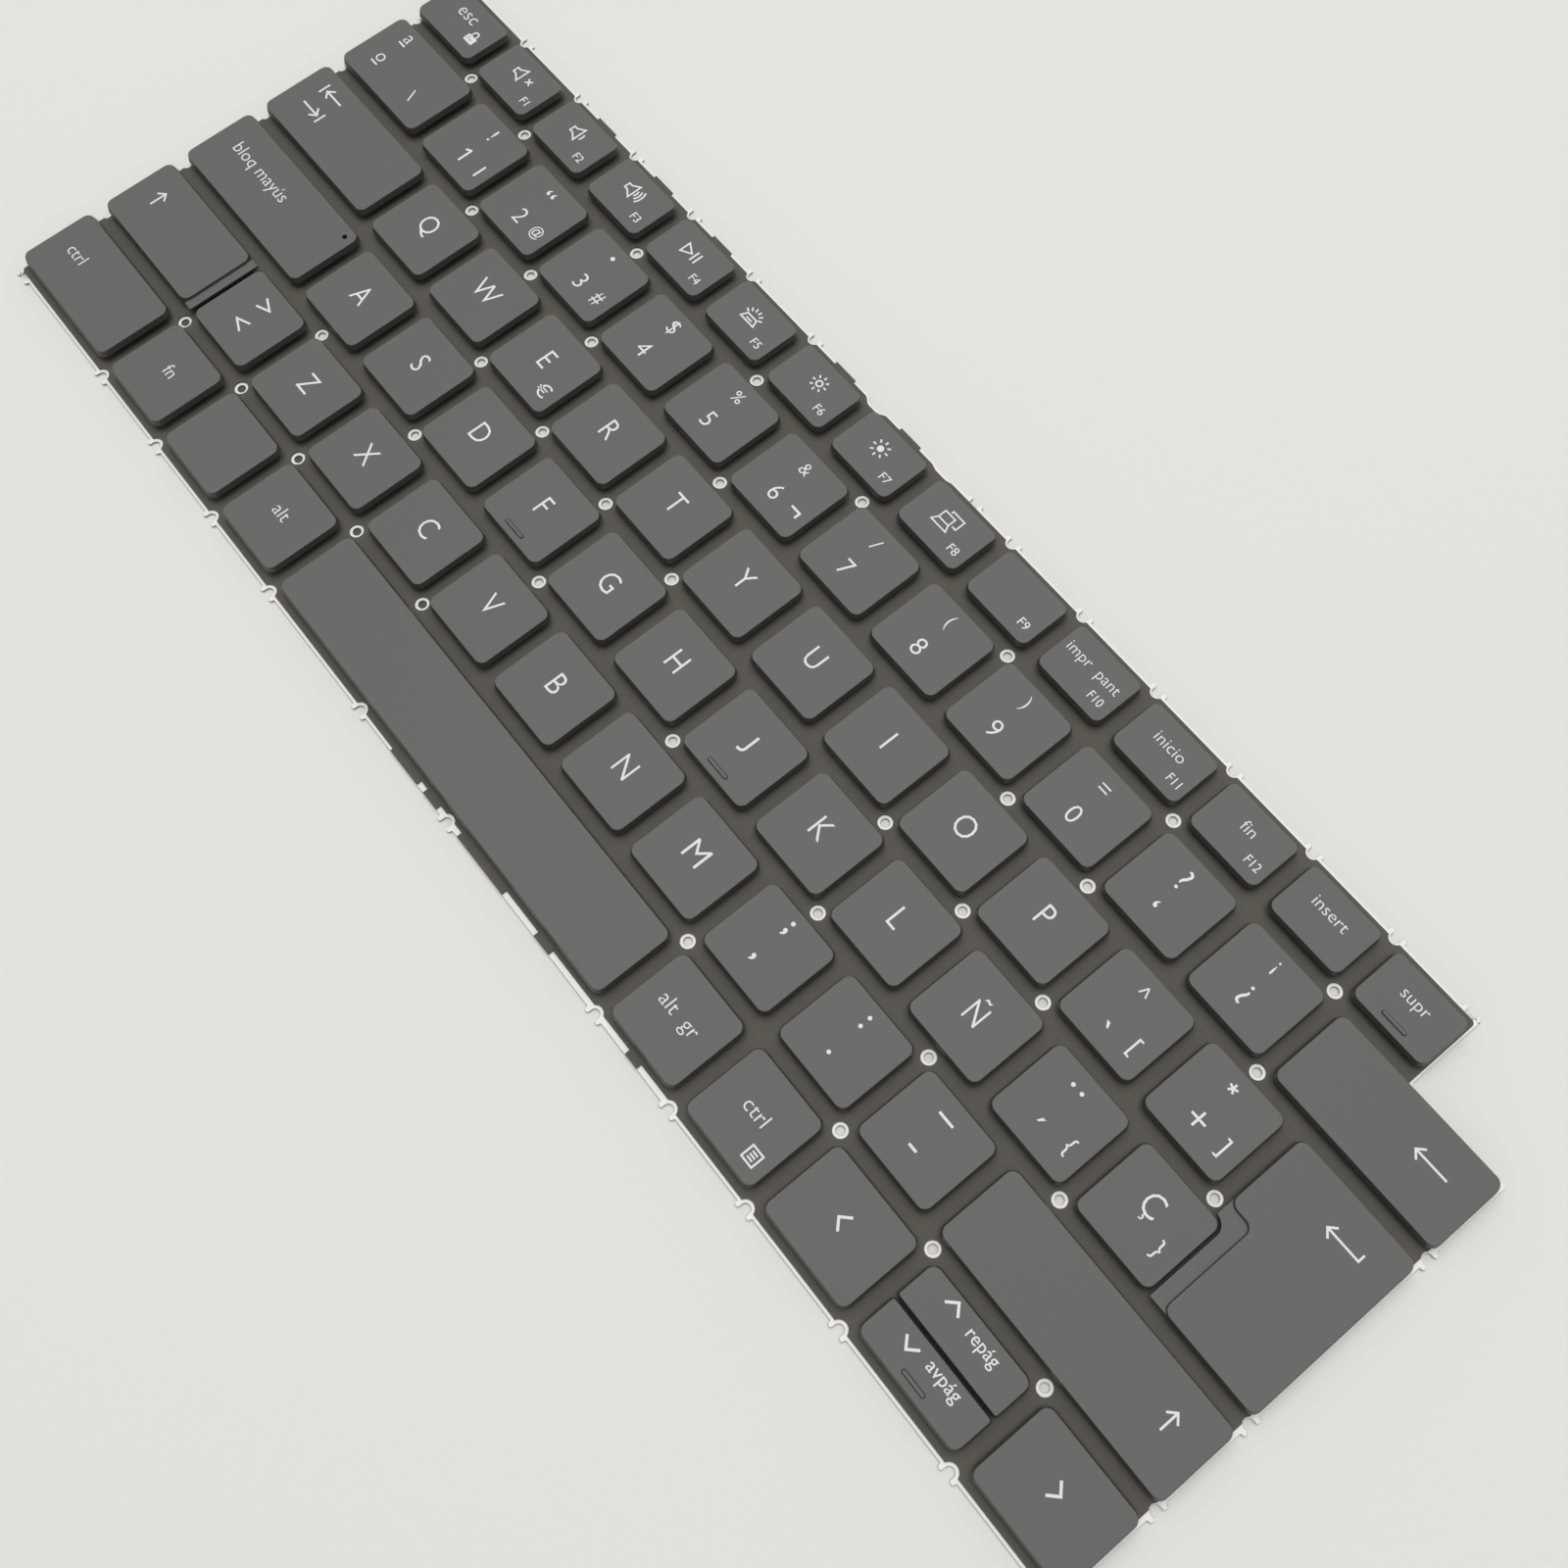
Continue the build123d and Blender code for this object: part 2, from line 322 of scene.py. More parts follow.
def foot_spans(node):
    """Left and right edges of a row's caps: its triangles' spans in x, merged where they touch."""
    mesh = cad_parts[node].data
    corners = np.zeros(len(mesh.loops), int)
    mesh.loops.foreach_get("vertex_index", corners)
    x = cad_points(node)[corners, 0].reshape(-1, 3)
    order = np.argsort(x.min(1))
    low = x.min(1)[order]
    reach = np.maximum.accumulate(x.max(1)[order])
    first = np.flatnonzero(np.append(True, low[1:] > reach[:-1]))
    return zip(low[first], reach[np.append(first[1:], len(low)) - 1])


def find_keys():
    """Edges of each cap's flat top, by key, and the gap between caps."""
    keys = {}
    for node, names in (("function_row_caps", FUNCTION_NAMES), ("number_row_caps", NUMBER_NAMES)):
        low, high = cad_points(node).min(0), cad_points(node).max(0)
        for name, (left, right) in zip(names, foot_spans(node), strict=True):
            keys[name] = Key(left + FLARE, right - FLARE, low[1] + FLARE, high[1] - FLARE)
    for name in MOVING_NAMES:
        points = cad_points("key_" + name)
        low, high = points.min(0) + FLARE, points.max(0) - FLARE
        keys[name] = Key(low[0], high[0], low[1], high[1])
    gap = keys["w"].left - keys["q"].right
    keys["shift_left"] = keys["shift_left"]._replace(right=keys["less_than"].left - gap)
    return keys, gap


KEYS, GAP = find_keys()
ENTER_STEP = KEYS["plus"].front
ENTER_INNER = KEYS["c_cedilla"].right + GAP


def find_stakes():
    """Middles of the film's ring openings: means of the top points that have just a ring's others near."""
    points = cad_points("switch_membrane")
    flat = np.unique(points[points[:, 2] > FILM_TOP - CLOSE, :2].round(3), axis=0)
    reach = 2 * (STAKE_RADIUS + STAKE_RING) + CLOSE
    near = np.linalg.norm(flat[:, None] - flat[None], axis=-1) < reach
    rings = near[near.sum(1) == RING_SIDES].astype(float)
    return np.unique((rings @ flat / RING_SIDES).round(1), axis=0)


def pair_middles(values):
    """Middles between the first and second value, the third and fourth, and so on."""
    return np.unique(values.round(2)).reshape(-1, 2).mean(1)


plate_points = cad_points("base_plate")
film_points = cad_points("switch_membrane")
PLATE_LEFT, PLATE_FRONT = plate_points.min(0)[:2] + EAR_LENGTH
PLATE_RIGHT, PLATE_BACK = plate_points.max(0)[:2] - EAR_LENGTH
CORNER_X = plate_points[plate_points[:, 1] > PLATE_BACK - CLOSE, 0].max()
CORNER_Y = plate_points[plate_points[:, 0] > PLATE_RIGHT - CLOSE, 1].max()


def points_on(points, axis, place):
    """Places along the other flat axis of the points that lie on one line."""
    return points[np.abs(points[:, axis] - place) < CLOSE / 2, 1 - axis]


NOTCHES = {
    "front": pair_middles(points_on(plate_points, 1, PLATE_FRONT + NOTCH_DEPTH)),
    "right": pair_middles(points_on(plate_points, 0, PLATE_RIGHT - NOTCH_DEPTH)),
    "back": pair_middles(points_on(plate_points, 1, PLATE_BACK - NOTCH_DEPTH)),
    "left": pair_middles(points_on(plate_points, 0, PLATE_LEFT + NOTCH_DEPTH)),
}
DIPS = [(points_on(plate_points, 1, PLATE_BACK - depth).mean(), depth) for depth in DIP_DEPTHS]
TABS = {
    "front": np.unique(points_on(film_points, 1, film_points[:, 1].min()).round(2)).reshape(-1, 2),
    "back": np.unique(points_on(film_points, 1, film_points[:, 1].max()).round(2)).reshape(-1, 2),
}

STRIP_START = TABS["front"][0].mean()
STRIP_END = NOTCHES["front"][NOTCHES["front"] > TABS["front"][-1, 1]].min()
STAKES = find_stakes()
LONE_KEY_MIDDLE = (KEYS["f8"].left + KEYS["f8"].right) / 2
LONE_NOTCH = min(NOTCHES["back"], key=lambda place: abs(place - LONE_KEY_MIDDLE))


# Shapes worked out as arrays


def grid_faces(rows, columns, wrap_rows=False, wrap_columns=False):
    """Four-sided faces between a grid's points; a wrapped side joins its last line to its first."""
    index = np.arange(rows * columns).reshape(rows, columns)
    if wrap_rows:
        index = np.vstack([index, index[:1]])
    if wrap_columns:
        index = np.hstack([index, index[:, :1]])
    return np.stack([index[:-1, :-1], index[:-1, 1:], index[1:, 1:], index[1:, :-1]], -1).reshape(-1, 4)


def stacked(rings):
    """Closed shell of equal rings, in order from inside-below to above, with a face over each end."""
    rows, columns = rings.shape[:2]
    first = np.arange(columns)[None, ::-1]
    last = np.arange((rows - 1) * columns, rows * columns)[None]
    return Shape(rings.reshape(-1, 3), [grid_faces(rows, columns, wrap_columns=True), first, last])


def lifted(outline, heights):
    """The same flat outline at several heights, as rings."""
    return np.stack([np.column_stack([outline, np.full(len(outline), height)]) for height in heights])


def arc(x, y, radius, start, stop, steps=CORNER_STEPS):
    """Points of a circle about (x, y) between two angles in degrees."""
    angle = np.radians(np.linspace(start, stop, steps + 1))
    return np.column_stack([x + radius * np.cos(angle), y + radius * np.sin(angle)])


def ring(corners, inset, steps=CORNER_STEPS):
    """Outline of rounded corners moved inwards: each is a quarter circle whose middle stays in place.

    A corner is x, y, radius, start angle and turn; an outer corner turns by 1 and an inner one by -1.
    """
    x, y, radius, start, turn = np.array(corners, float).T
    middle = np.radians(start + 45 * turn)
    inside = -turn * np.sign([np.cos(middle), np.sin(middle)])
    bend = np.maximum(radius - turn * inset, LEAST_RADIUS)
    centre = np.array([x, y]) + (inset + turn * bend) * inside
    angle = np.radians(start[:, None] + turn[:, None] * np.linspace(0, 90, steps + 1))
    points = centre.T[:, None] + bend[:, None, None] * np.stack([np.cos(angle), np.sin(angle)], -1)
    return points.reshape(-1, 2)


def moulding(corners, profile):
    """Shell of one outline moved inwards by each inset of a profile, at that inset's height."""
    return stacked(np.concatenate([lifted(ring(corners, inset), [height]) for inset, height in profile]))


def box_corners(key, front, back, grow=0.0):
    """Rounded corners of a rectangle, grown on all sides, from its front and back radii."""
    return [
        (key.right + grow, key.back + grow, back + grow, 0, 1),
        (key.left - grow, key.back + grow, back + grow, 90, 1),
        (key.left - grow, key.front - grow, front + grow, 180, 1),
        (key.right + grow, key.front - grow, front + grow, 270, 1),
    ]


def ribbon(path, width, bottom, top):
    """Rectangle carried along a flat path: each point goes half the width to both sides along its mitre.

    A path that ends where it starts is closed; an open one gets square ends.
    """
    path = np.array(path, float)
    closed = np.allclose(path[0], path[-1])
    path = path[:-1] if closed else path
    step = np.roll(path, -1, axis=0) - path
    step /= np.linalg.norm(step, axis=1, keepdims=True)
    after = np.column_stack([-step[:, 1], step[:, 0]])
    before = np.roll(after, 1, axis=0)
    if not closed:
        after[-1] = after[-2]
        before[0] = after[0]
    mitre = (after + before) / (1 + (after * before).sum(1, keepdims=True))
    left, right = path + mitre * width / 2, path - mitre * width / 2
    flat = np.stack([left, right, right, left], axis=1)
    height = np.broadcast_to(np.array([bottom, bottom, top, top])[:, None], (*flat.shape[:2], 1))
    faces = [grid_faces(len(path), 4, wrap_rows=closed, wrap_columns=True)[:, ::-1]]
    if not closed:
        faces += [np.arange(4)[None], np.arange(4 * len(path) - 4, 4 * len(path))[None, ::-1]]
    return Shape(np.concatenate([flat, height], axis=-1).reshape(-1, 3), faces)


def slab(outline, bottom, top):
    """Flat outline, counter-clockwise, given a thickness."""
    return stacked(lifted(np.asarray(outline, float), (bottom, top)))


def turned(x, y, profile, steps=HOLE_STEPS // 2):
    """Profile of radii and heights turned about an upright axis at (x, y)."""
    radius, height = np.array(profile, float).T
    angle = np.linspace(0, 2 * np.pi, steps, endpoint=False)
    return stacked(np.stack([
        x + radius[:, None] * np.cos(angle),
        y + radius[:, None] * np.sin(angle),
        np.broadcast_to(height[:, None], (len(radius), steps)),
    ], axis=-1))


def tube(path, radius, closed, steps=8):
    """Circle carried along a path in space, standing square to the path's flat heading and to Z."""
    path = np.array(path, float)
    heading = np.roll(path, -1, axis=0) - np.roll(path, 1, axis=0)
    if not closed:
        heading[0], heading[-1] = path[1] - path[0], path[-1] - path[-2]
    heading[:, 2] = 0
    heading /= np.linalg.norm(heading, axis=1, keepdims=True)
    side = np.column_stack([heading[:, 1], -heading[:, 0], np.zeros(len(path))])
    angle = np.linspace(0, 2 * np.pi, steps, endpoint=False)
    across = np.cos(angle)[:, None] * side[:, None]
    upward = np.sin(angle)[:, None] * np.array([0, 0, 1])
    points = path[:, None] + radius * (across + upward)
    faces = [grid_faces(len(path), steps, wrap_rows=closed, wrap_columns=True)[:, ::-1]]
    if not closed:
        faces += [np.arange(steps)[None], np.arange(steps * (len(path) - 1), steps * len(path))[None, ::-1]]
    return Shape(points.reshape(-1, 3), faces)


def mesh_shape(mesh):
    """Points and faces of a Blender mesh, its faces grouped by their number of corners."""
    flat = np.zeros(3 * len(mesh.vertices))
    mesh.vertices.foreach_get("co", flat)
    corners = np.zeros(len(mesh.loops), int)
    mesh.loops.foreach_get("vertex_index", corners)
    start = np.zeros(len(mesh.polygons), int)
    mesh.polygons.foreach_get("loop_start", start)
    total = np.zeros(len(mesh.polygons), int)
    mesh.polygons.foreach_get("loop_total", total)
    faces = [corners[start[total == count][:, None] + np.arange(count)] for count in np.unique(total)]
    return Shape(flat.reshape(-1, 3), faces)


def curve_shape(curve):
    """Mesh that Blender makes of a curve or text, in the curve's own units."""
    holder = bpy.data.objects.new(curve.name, curve)
    bpy.context.scene.collection.objects.link(holder)
    mesh = bpy.data.meshes.new_from_object(holder.evaluated_get(bpy.context.evaluated_depsgraph_get()))
    shape = mesh_shape(mesh)
    bpy.data.meshes.remove(mesh)
    bpy.data.objects.remove(holder)
    return shape


def sheet(outline, openings, bottom, top, edge):
    """Flat sheet within an outline and round its openings, with every rim rounded by edge."""
    curve = bpy.data.curves.new("sheet", "CURVE")
    curve.dimensions = "2D"
    curve.fill_mode = "BOTH"
    curve.extrude = (top - bottom) / 2 - edge
    curve.bevel_depth = edge
    curve.bevel_resolution = 1
    curve.offset = -edge
    for points in [outline, *openings]:
        spline = curve.splines.new("POLY")
        spline.points.add(len(points) - 1)
        rows = np.column_stack([points, np.zeros(len(points)), np.ones(len(points))])
        spline.points.foreach_set("co", rows.ravel())
        spline.use_cyclic_u = True
    shape = curve_shape(curve)
    bpy.data.curves.remove(curve)
    return Shape(shape.points + [0, 0, (top + bottom) / 2], shape.faces)


def make_object(name, parts):
    """Mesh object of shapes in millimetres, each with its material."""
    materials = list(dict.fromkeys(material for shape, material in parts))
    points, faces, slots = [], [], []
    count = 0
    for shape, material in parts:
        points.append(shape.points)
        for block in shape.faces:
            faces += (block + count).tolist()
            slots += [materials.index(material)] * len(block)
        count += len(shape.points)
    mesh = bpy.data.meshes.new(name)
    mesh.from_pydata((np.concatenate(points) * MM).tolist(), [], faces)
    for material in materials:
        mesh.materials.append(bpy.data.materials[material])
    mesh.polygons.foreach_set("material_index", slots)
    mesh.shade_smooth()
    mesh.set_sharp_from_angle(angle=np.radians(SHARP_ANGLE))
    mesh.validate()
    made = bpy.data.objects.new(name, mesh)
    bpy.context.scene.collection.objects.link(made)
    return made


# Materials


def node(tree, kind, inputs, **settings):
    """Add a node with its settings, and set or link its inputs."""
    made = tree.nodes.new(kind)
    for name, value in settings.items():
        setattr(made, name, value)
    for name, value in inputs.items():
        if isinstance(value, bpy.types.NodeSocket):
            tree.links.new(value, made.inputs[name])
        else:
            made.inputs[name].default_value = value
    return made


def paint_shade_on_sides(obj, name):
    """Give the upright faces of an object's first finish another, darker finish: painted shade on the
    sides.
    """
    mesh = obj.data
    normals = np.empty(3 * len(mesh.polygons))
    mesh.polygons.foreach_get("normal", normals)
    slots = np.empty(len(mesh.polygons), dtype=int)
    mesh.polygons.foreach_get("material_index", slots)
    upright = np.abs(normals.reshape(-1, 3)[:, 2]) < STEEP
    slots[upright & (slots == 0)] = len(mesh.materials)
    mesh.materials.append(bpy.data.materials[name])
    mesh.polygons.foreach_set("material_index", slots)


def finish(name, surface, grain=None, depth=0.0):
    """Material from its surface's values, with a grain of bumps where its size in millimetres is given."""
    material = bpy.data.materials.new(name)
    material.use_nodes = True
    tree = material.node_tree
    tree.nodes.clear()
    inputs = dict(surface)
    if grain:
        place = node(tree, "ShaderNodeTexCoord", {})
        bumps = node(
            tree,
            "ShaderNodeTexNoise",
            {"Vector": place.outputs["Object"], "Scale": 1 / (grain * MM), "Detail": 1.0},
        )
        relief = node(
            tree,
            "ShaderNodeBump",
            {"Height": bumps.outputs["Fac"], "Distance": depth * MM, "Strength": 1.0},
        )
        inputs["Normal"] = relief.outputs["Normal"]
    shader = node(tree, "ShaderNodeBsdfPrincipled", inputs)
    node(tree, "ShaderNodeOutputMaterial", {"Surface": shader.outputs["BSDF"]})


CAP = "moulded_abs_caps"
SIDE_SHADE_FINISH = "abs_sides_painted_shade"
INK = "white_pad_print"
FILM = "polyester_switch_film"
PLATE = "stamped_aluminium_plate"
DOME = "silicone_domes"
RIM_SHADE_FINISH = "sheet_edge_painted_shade"
SCISSOR = "acetal_scissors"
WIRE = "spring_steel_wire"
FLOOR = "painted_table"


def make_finishes():
    """Finish of each real material, and the darker finishes that paint shade on the caps' sides and the
    plate's edge.
    """
    # Textured mould: an even grey with a soft sheen; its grain of about 0.1 mm is drawn coarser, to show
    finish(CAP, {"Base Color": colour("cap"), "Roughness": 0.6, "IOR": 1.52}, grain=0.35, depth=0.02)
    # Smooth upright sides of the caps: painted shade, darker than the textured top to stand in for the
    # shade they fall in, which sets the caps off from each other
    finish(SIDE_SHADE_FINISH, {"Base Color": colour("cap_side"), "Roughness": 0.5, "IOR": 1.5})
    # Flat opaque ink: bright and dull
    finish(INK, {"Base Color": colour("ink"), "Roughness": 0.6, "IOR": 1.5})
    # Dark coated film: dull, with a weak sheen
    finish(FILM, {"Base Color": colour("film"), "Roughness": 0.65, "IOR": 1.42})
    # Bare rolled sheet: bright, with a blurred reflection of the room
    finish(PLATE, {"Base Color": colour("plate"), "Metallic": 0.25, "Roughness": 0.6})
    # Sheared edge of the sheet, dull: its grey is painted shade, a dark line round the bright rim
    finish(RIM_SHADE_FINISH, {"Base Color": colour("rim_shade"), "Metallic": 0.25, "Roughness": 0.7})
    # Milky rubber: soft and dull
    finish(DOME, {"Base Color": colour("dome"), "Roughness": 0.65, "IOR": 1.42})
    # Moulded acetal: plain grey with a slight gloss
    finish(SCISSOR, {"Base Color": colour("scissor"), "Roughness": 0.4, "IOR": 1.48})
    # Drawn wire: grey metal with a narrow highlight
    finish(WIRE, {"Base Color": colour("wire"), "Metallic": 1.0, "Roughness": 0.3})
    # Matt paint: an even pale ground
    finish(FLOOR, {"Base Color": colour("floor"), "Roughness": 0.8, "IOR": 1.45})


# Legends

LETTERS = [name for name in KEYS if len(name) == 1 and name.isalpha()]
LETTER_SHIFT = -0.2
LETTER_RISE = 0.7
LETTER_STRETCH = 0.87
WIDE_LETTERS = {"m": 1.0, "w": 0.92}
DIGIT_SHIFT = -0.4
DIGIT_RISE = -2.6
SHIFTED_RISE = 4.1
THIRD_PLACE = (4.7, -2.7)
DOT_RADIUS = 0.36
LOCK_PLACE = 13.3
LOCK_MARK = Mark("Fn", 1.0, -1, LOCK_PLACE - 0.75, -1.6)
WORD_BASE = -0.5
FUNCTION_WORD_BASE = 0.25
FUNCTION_WORD_HEIGHT = 2.07
LABEL_PLACE = (4.45, -2.3)
LABEL_SHIFTS = {1: 0.5, 10: -0.4, 11: 0.1}
LONG_LABEL_STRETCH = 0.88
FONT_CAPITAL = 0.682  # height of a capital in the built-in font, as a share of its size
FONT_THINNING = 0.012  # taken off each side of a stroke, as a share of a capital's height
FONT_STEPS = 3
SINK = 0.05  # how deep a legend reaches into its cap


def text_marks():
    """Text legends by key: a height, the side that x counts from, and the middle of the text.

    With side -1, x runs from the cap's left edge to the text's left end, and with 0 from middle to middle.
    """
    letter, digit, sign = size("letter_height"), size("digit_height"), size("sign_height")
    label = size("label_height")
    marks = {name: [] for name in KEYS}
    for name in LETTERS:
        if name != "j":
            stretch = WIDE_LETTERS.get(name, LETTER_STRETCH)
            marks[name].append(Mark(name.upper(), letter, 0, LETTER_SHIFT, LETTER_RISE, stretch))
    for name in "234567890":
        marks[name].append(Mark(name, digit, 0, DIGIT_SHIFT, DIGIT_RISE))
    for number in range(1, 13):
        x, y = LABEL_PLACE
        x += LABEL_SHIFTS.get(number, 0)
        stretch = LONG_LABEL_STRETCH if number > 9 else 1.0
        marks[f"f{number}"].append(Mark(f"F{number}", label, 0, x, y, stretch, 0.02))
    shifted = {
        "1": Mark("!", sign, 0, 0.3, SHIFTED_RISE, 1.0, 0.03),
        "2": Mark("“", 3.6, 0, DIGIT_SHIFT, 4.6, 1.1, 0.05),
        "4": Mark("$", sign, 0, DIGIT_SHIFT, SHIFTED_RISE),
        "5": Mark("%", 2.3, 0, DIGIT_SHIFT, SHIFTED_RISE, 1.0, 0.03),
        "6": Mark("&", 2.4, 0, DIGIT_SHIFT, SHIFTED_RISE),
        "7": Mark("/", 2.4, 0, DIGIT_SHIFT, SHIFTED_RISE, 1.5),
        "8": Mark("(", 2.5, 0, DIGIT_SHIFT, SHIFTED_RISE),
        "9": Mark(")", 2.5, 0, DIGIT_SHIFT, SHIFTED_RISE),
        "0": Mark("=", sign, 0, DIGIT_SHIFT, SHIFTED_RISE),
    }
    for name, mark in shifted.items():
        marks[name].append(mark)
    marks["2"].append(Mark("@", 2.1, 0, *THIRD_PLACE, 0.9, 0.03))
    marks["3"].append(Mark("#", sign, 0, *THIRD_PLACE, 0.8, 0.03))
    marks["6"].append(Mark("¬", 3.3, 0, *THIRD_PLACE, 1.0, 0.06))
    marks["degree"] += [
        Mark("a", sign, 0, -6.5, 4.9),
        Mark("o", sign, 0, -6.5, -1.7),
        Mark("\\", 2.6, 0, 5.2, -2.4, 1.5),
    ]
    marks["apostrophe"] += [Mark("?", 3.9, 0, -0.2, 3.3, 1.1), Mark("‘", 3.8, 0, -0.3, -2.6, 1.1, 0.05)]
    marks["question"] += [Mark("¡", 2.6, 0, -0.3, 4.3), Mark("¿", 3.8, 0, -0.4, -2.1, 1.08)]
    marks["e"].append(Mark("€", 2.6, 0, 4.5, -3.6, 1.2, 0.03))
    marks["n_tilde"].append(Mark("Ñ", letter, 0, LETTER_SHIFT, LETTER_RISE, 0.78))
    marks["c_cedilla"] += [
        Mark("Ç", letter, 0, -0.4, 1.1, 0.84),
        Mark("}", 2.45, 0, 4.6, -2.3, 1.05, 0.04),
    ]
    marks["grave"] += [
        Mark("^", sign, 0, -0.6, 4.5),
        Mark("`", 4.6, 0, -0.6, -3.4, 1.0, 0.05),
        Mark("[", 2.7, 0, 4.6, -2.8, 1.0, 0.03),
    ]
    marks["plus"] += [Mark("+", 4.3, 0, -0.6, -2.6), Mark("]", 2.7, 0, 4.7, -2.8, 1.0, 0.03)]
    marks["acute"] += [Mark("´", 4.8, 0, -0.9, -2.9, 1.0, 0.02), Mark("{", 2.45, 0, 4.6, -2.4, 1.05, 0.04)]
    marks["comma"].append(Mark(";", digit, 0, DIGIT_SHIFT, 4.2, 1.0, 0.13))
    marks["comma"].append(Mark(",", digit, 0, DIGIT_SHIFT, -2.9, 1.0, 0.13))
    return marks


def word_marks():
    """Word legends by key, placed as text marks are, but with y as the height of their base line."""
    word = size("word_height")
    above = FUNCTION_WORD_HEIGHT
    return {
        "caps_lock": [Mark("bloq mayús", 2.58, -1, 5.0, 0.2)],
        "ctrl_left": [Mark("ctrl", word, -1, 4.6, WORD_BASE)],
        "fn": [Mark("fn", word, 0, 0.3, WORD_BASE)],
        "alt": [Mark("alt", word, 0, -0.2, WORD_BASE)],
        "alt_gr": [Mark("alt  gr", word, 0, -0.3, WORD_BASE)],
        "ctrl_right": [Mark("ctrl", word, 0, -0.2, WORD_BASE)],
        "arrow_up": [Mark("repág", 2.05, 0, 2.6, 0.3, 0.93, 0.03)],
        "arrow_down": [Mark("avpág", 2.05, 0, 2.5, 0.8, 0.97, 0.03)],
        "escape": [Mark("esc", 2.8, -1, 5.8, 0.5)],
        "f10": [Mark("impr  pant", above, 0, -0.15, FUNCTION_WORD_BASE, 0.94)],
        "f11": [Mark("inicio", above, 0, 0, FUNCTION_WORD_BASE)],
        "f12": [Mark("fin", above, 0, 0, FUNCTION_WORD_BASE)],
        "insert": [Mark("insert", above, 0, 0, FUNCTION_WORD_BASE)],
        "delete": [Mark("supr", above, 0, 0, FUNCTION_WORD_BASE)],
    }


def text_shape(mark):
    """Text in the built-in font as a thin slab in a cap's surface, its base line at y = 0."""
    curve = bpy.data.curves.new("legend", "FONT")
    curve.body = mark.text
    curve.size = mark.height / FONT_CAPITAL
    curve.resolution_u = FONT_STEPS
    curve.offset = mark.bold - FONT_THINNING * mark.height
    ink = size("ink_height")
    curve.extrude = (SINK + ink) / 2
    shape = curve_shape(curve)
    bpy.data.curves.remove(curve)
    return Shape(shape.points * [mark.stretch, 1, 1] + [0, 0, CAP_TOP + (ink - SINK) / 2], shape.faces)


def placed(shape, key, mark, on_base):
    """Text moved to its place on a cap."""
    low, high = shape.points.min(0), shape.points.max(0)
    if mark.side:
        start = key.left + mark.x - low[0]
    else:
        start = (key.left + key.right) / 2 + mark.x - (low[0] + high[0]) / 2
    base = 0 if on_base else (low[1] + high[1]) / 2
    rise = (key.front + key.back) / 2 + mark.y - base
    return Shape(shape.points + [start, rise, 0], shape.faces)


# Drawn signs: each is a stroke width and a list of paths about the sign's own middle


def speaker(x):
    """Outline of a loudspeaker: a small box that widens to a cone."""
    outline = [(-1.5, 0.6), (-0.7, 0.6), (0.7, 1.6), (0.7, -1.6), (-0.7, -0.6), (-1.5, -0.6), (-1.5, 0.6)]
    return np.array(outline) + [x, 0]


def rays(inner, outer, angles):
    """Short straight rays round a middle."""
    angle = np.radians(angles)
    heading = np.column_stack([np.cos(angle), np.sin(angle)])
    return list(np.stack([inner * heading, outer * heading], axis=1))


def ring_path(radius):
    """Closed circle as a path."""
    return arc(0, 0, radius, 0, 360, 20)


def box_path(left, right, front, back):
    """Closed rectangle as a path."""
    return [(left, front), (right, front), (right, back), (left, back), (left, front)]


ARROW_WIDTH = 0.36
TAB_WIDTH = 0.38
ICON_WIDTH = 0.32
FINE_WIDTH = 0.3
SCREEN_WIDTH = 0.28
PAUSE_WIDTH = 0.36
STAR_WIDTH = 0.36
UNDERLINE_WIDTH = 0.35
ANGLE_WIDTH = 0.4
UPRIGHT_WIDTH = 0.42
CHEVRON_WIDTH = 0.44
DIGIT_WIDTH = 0.44
DASH_WIDTH = 0.45
LETTER_WIDTH = 0.46
STROKE_STEP = 0.003  # between the tops of a sign's strokes
EIGHT_WAYS = np.arange(8) * 45


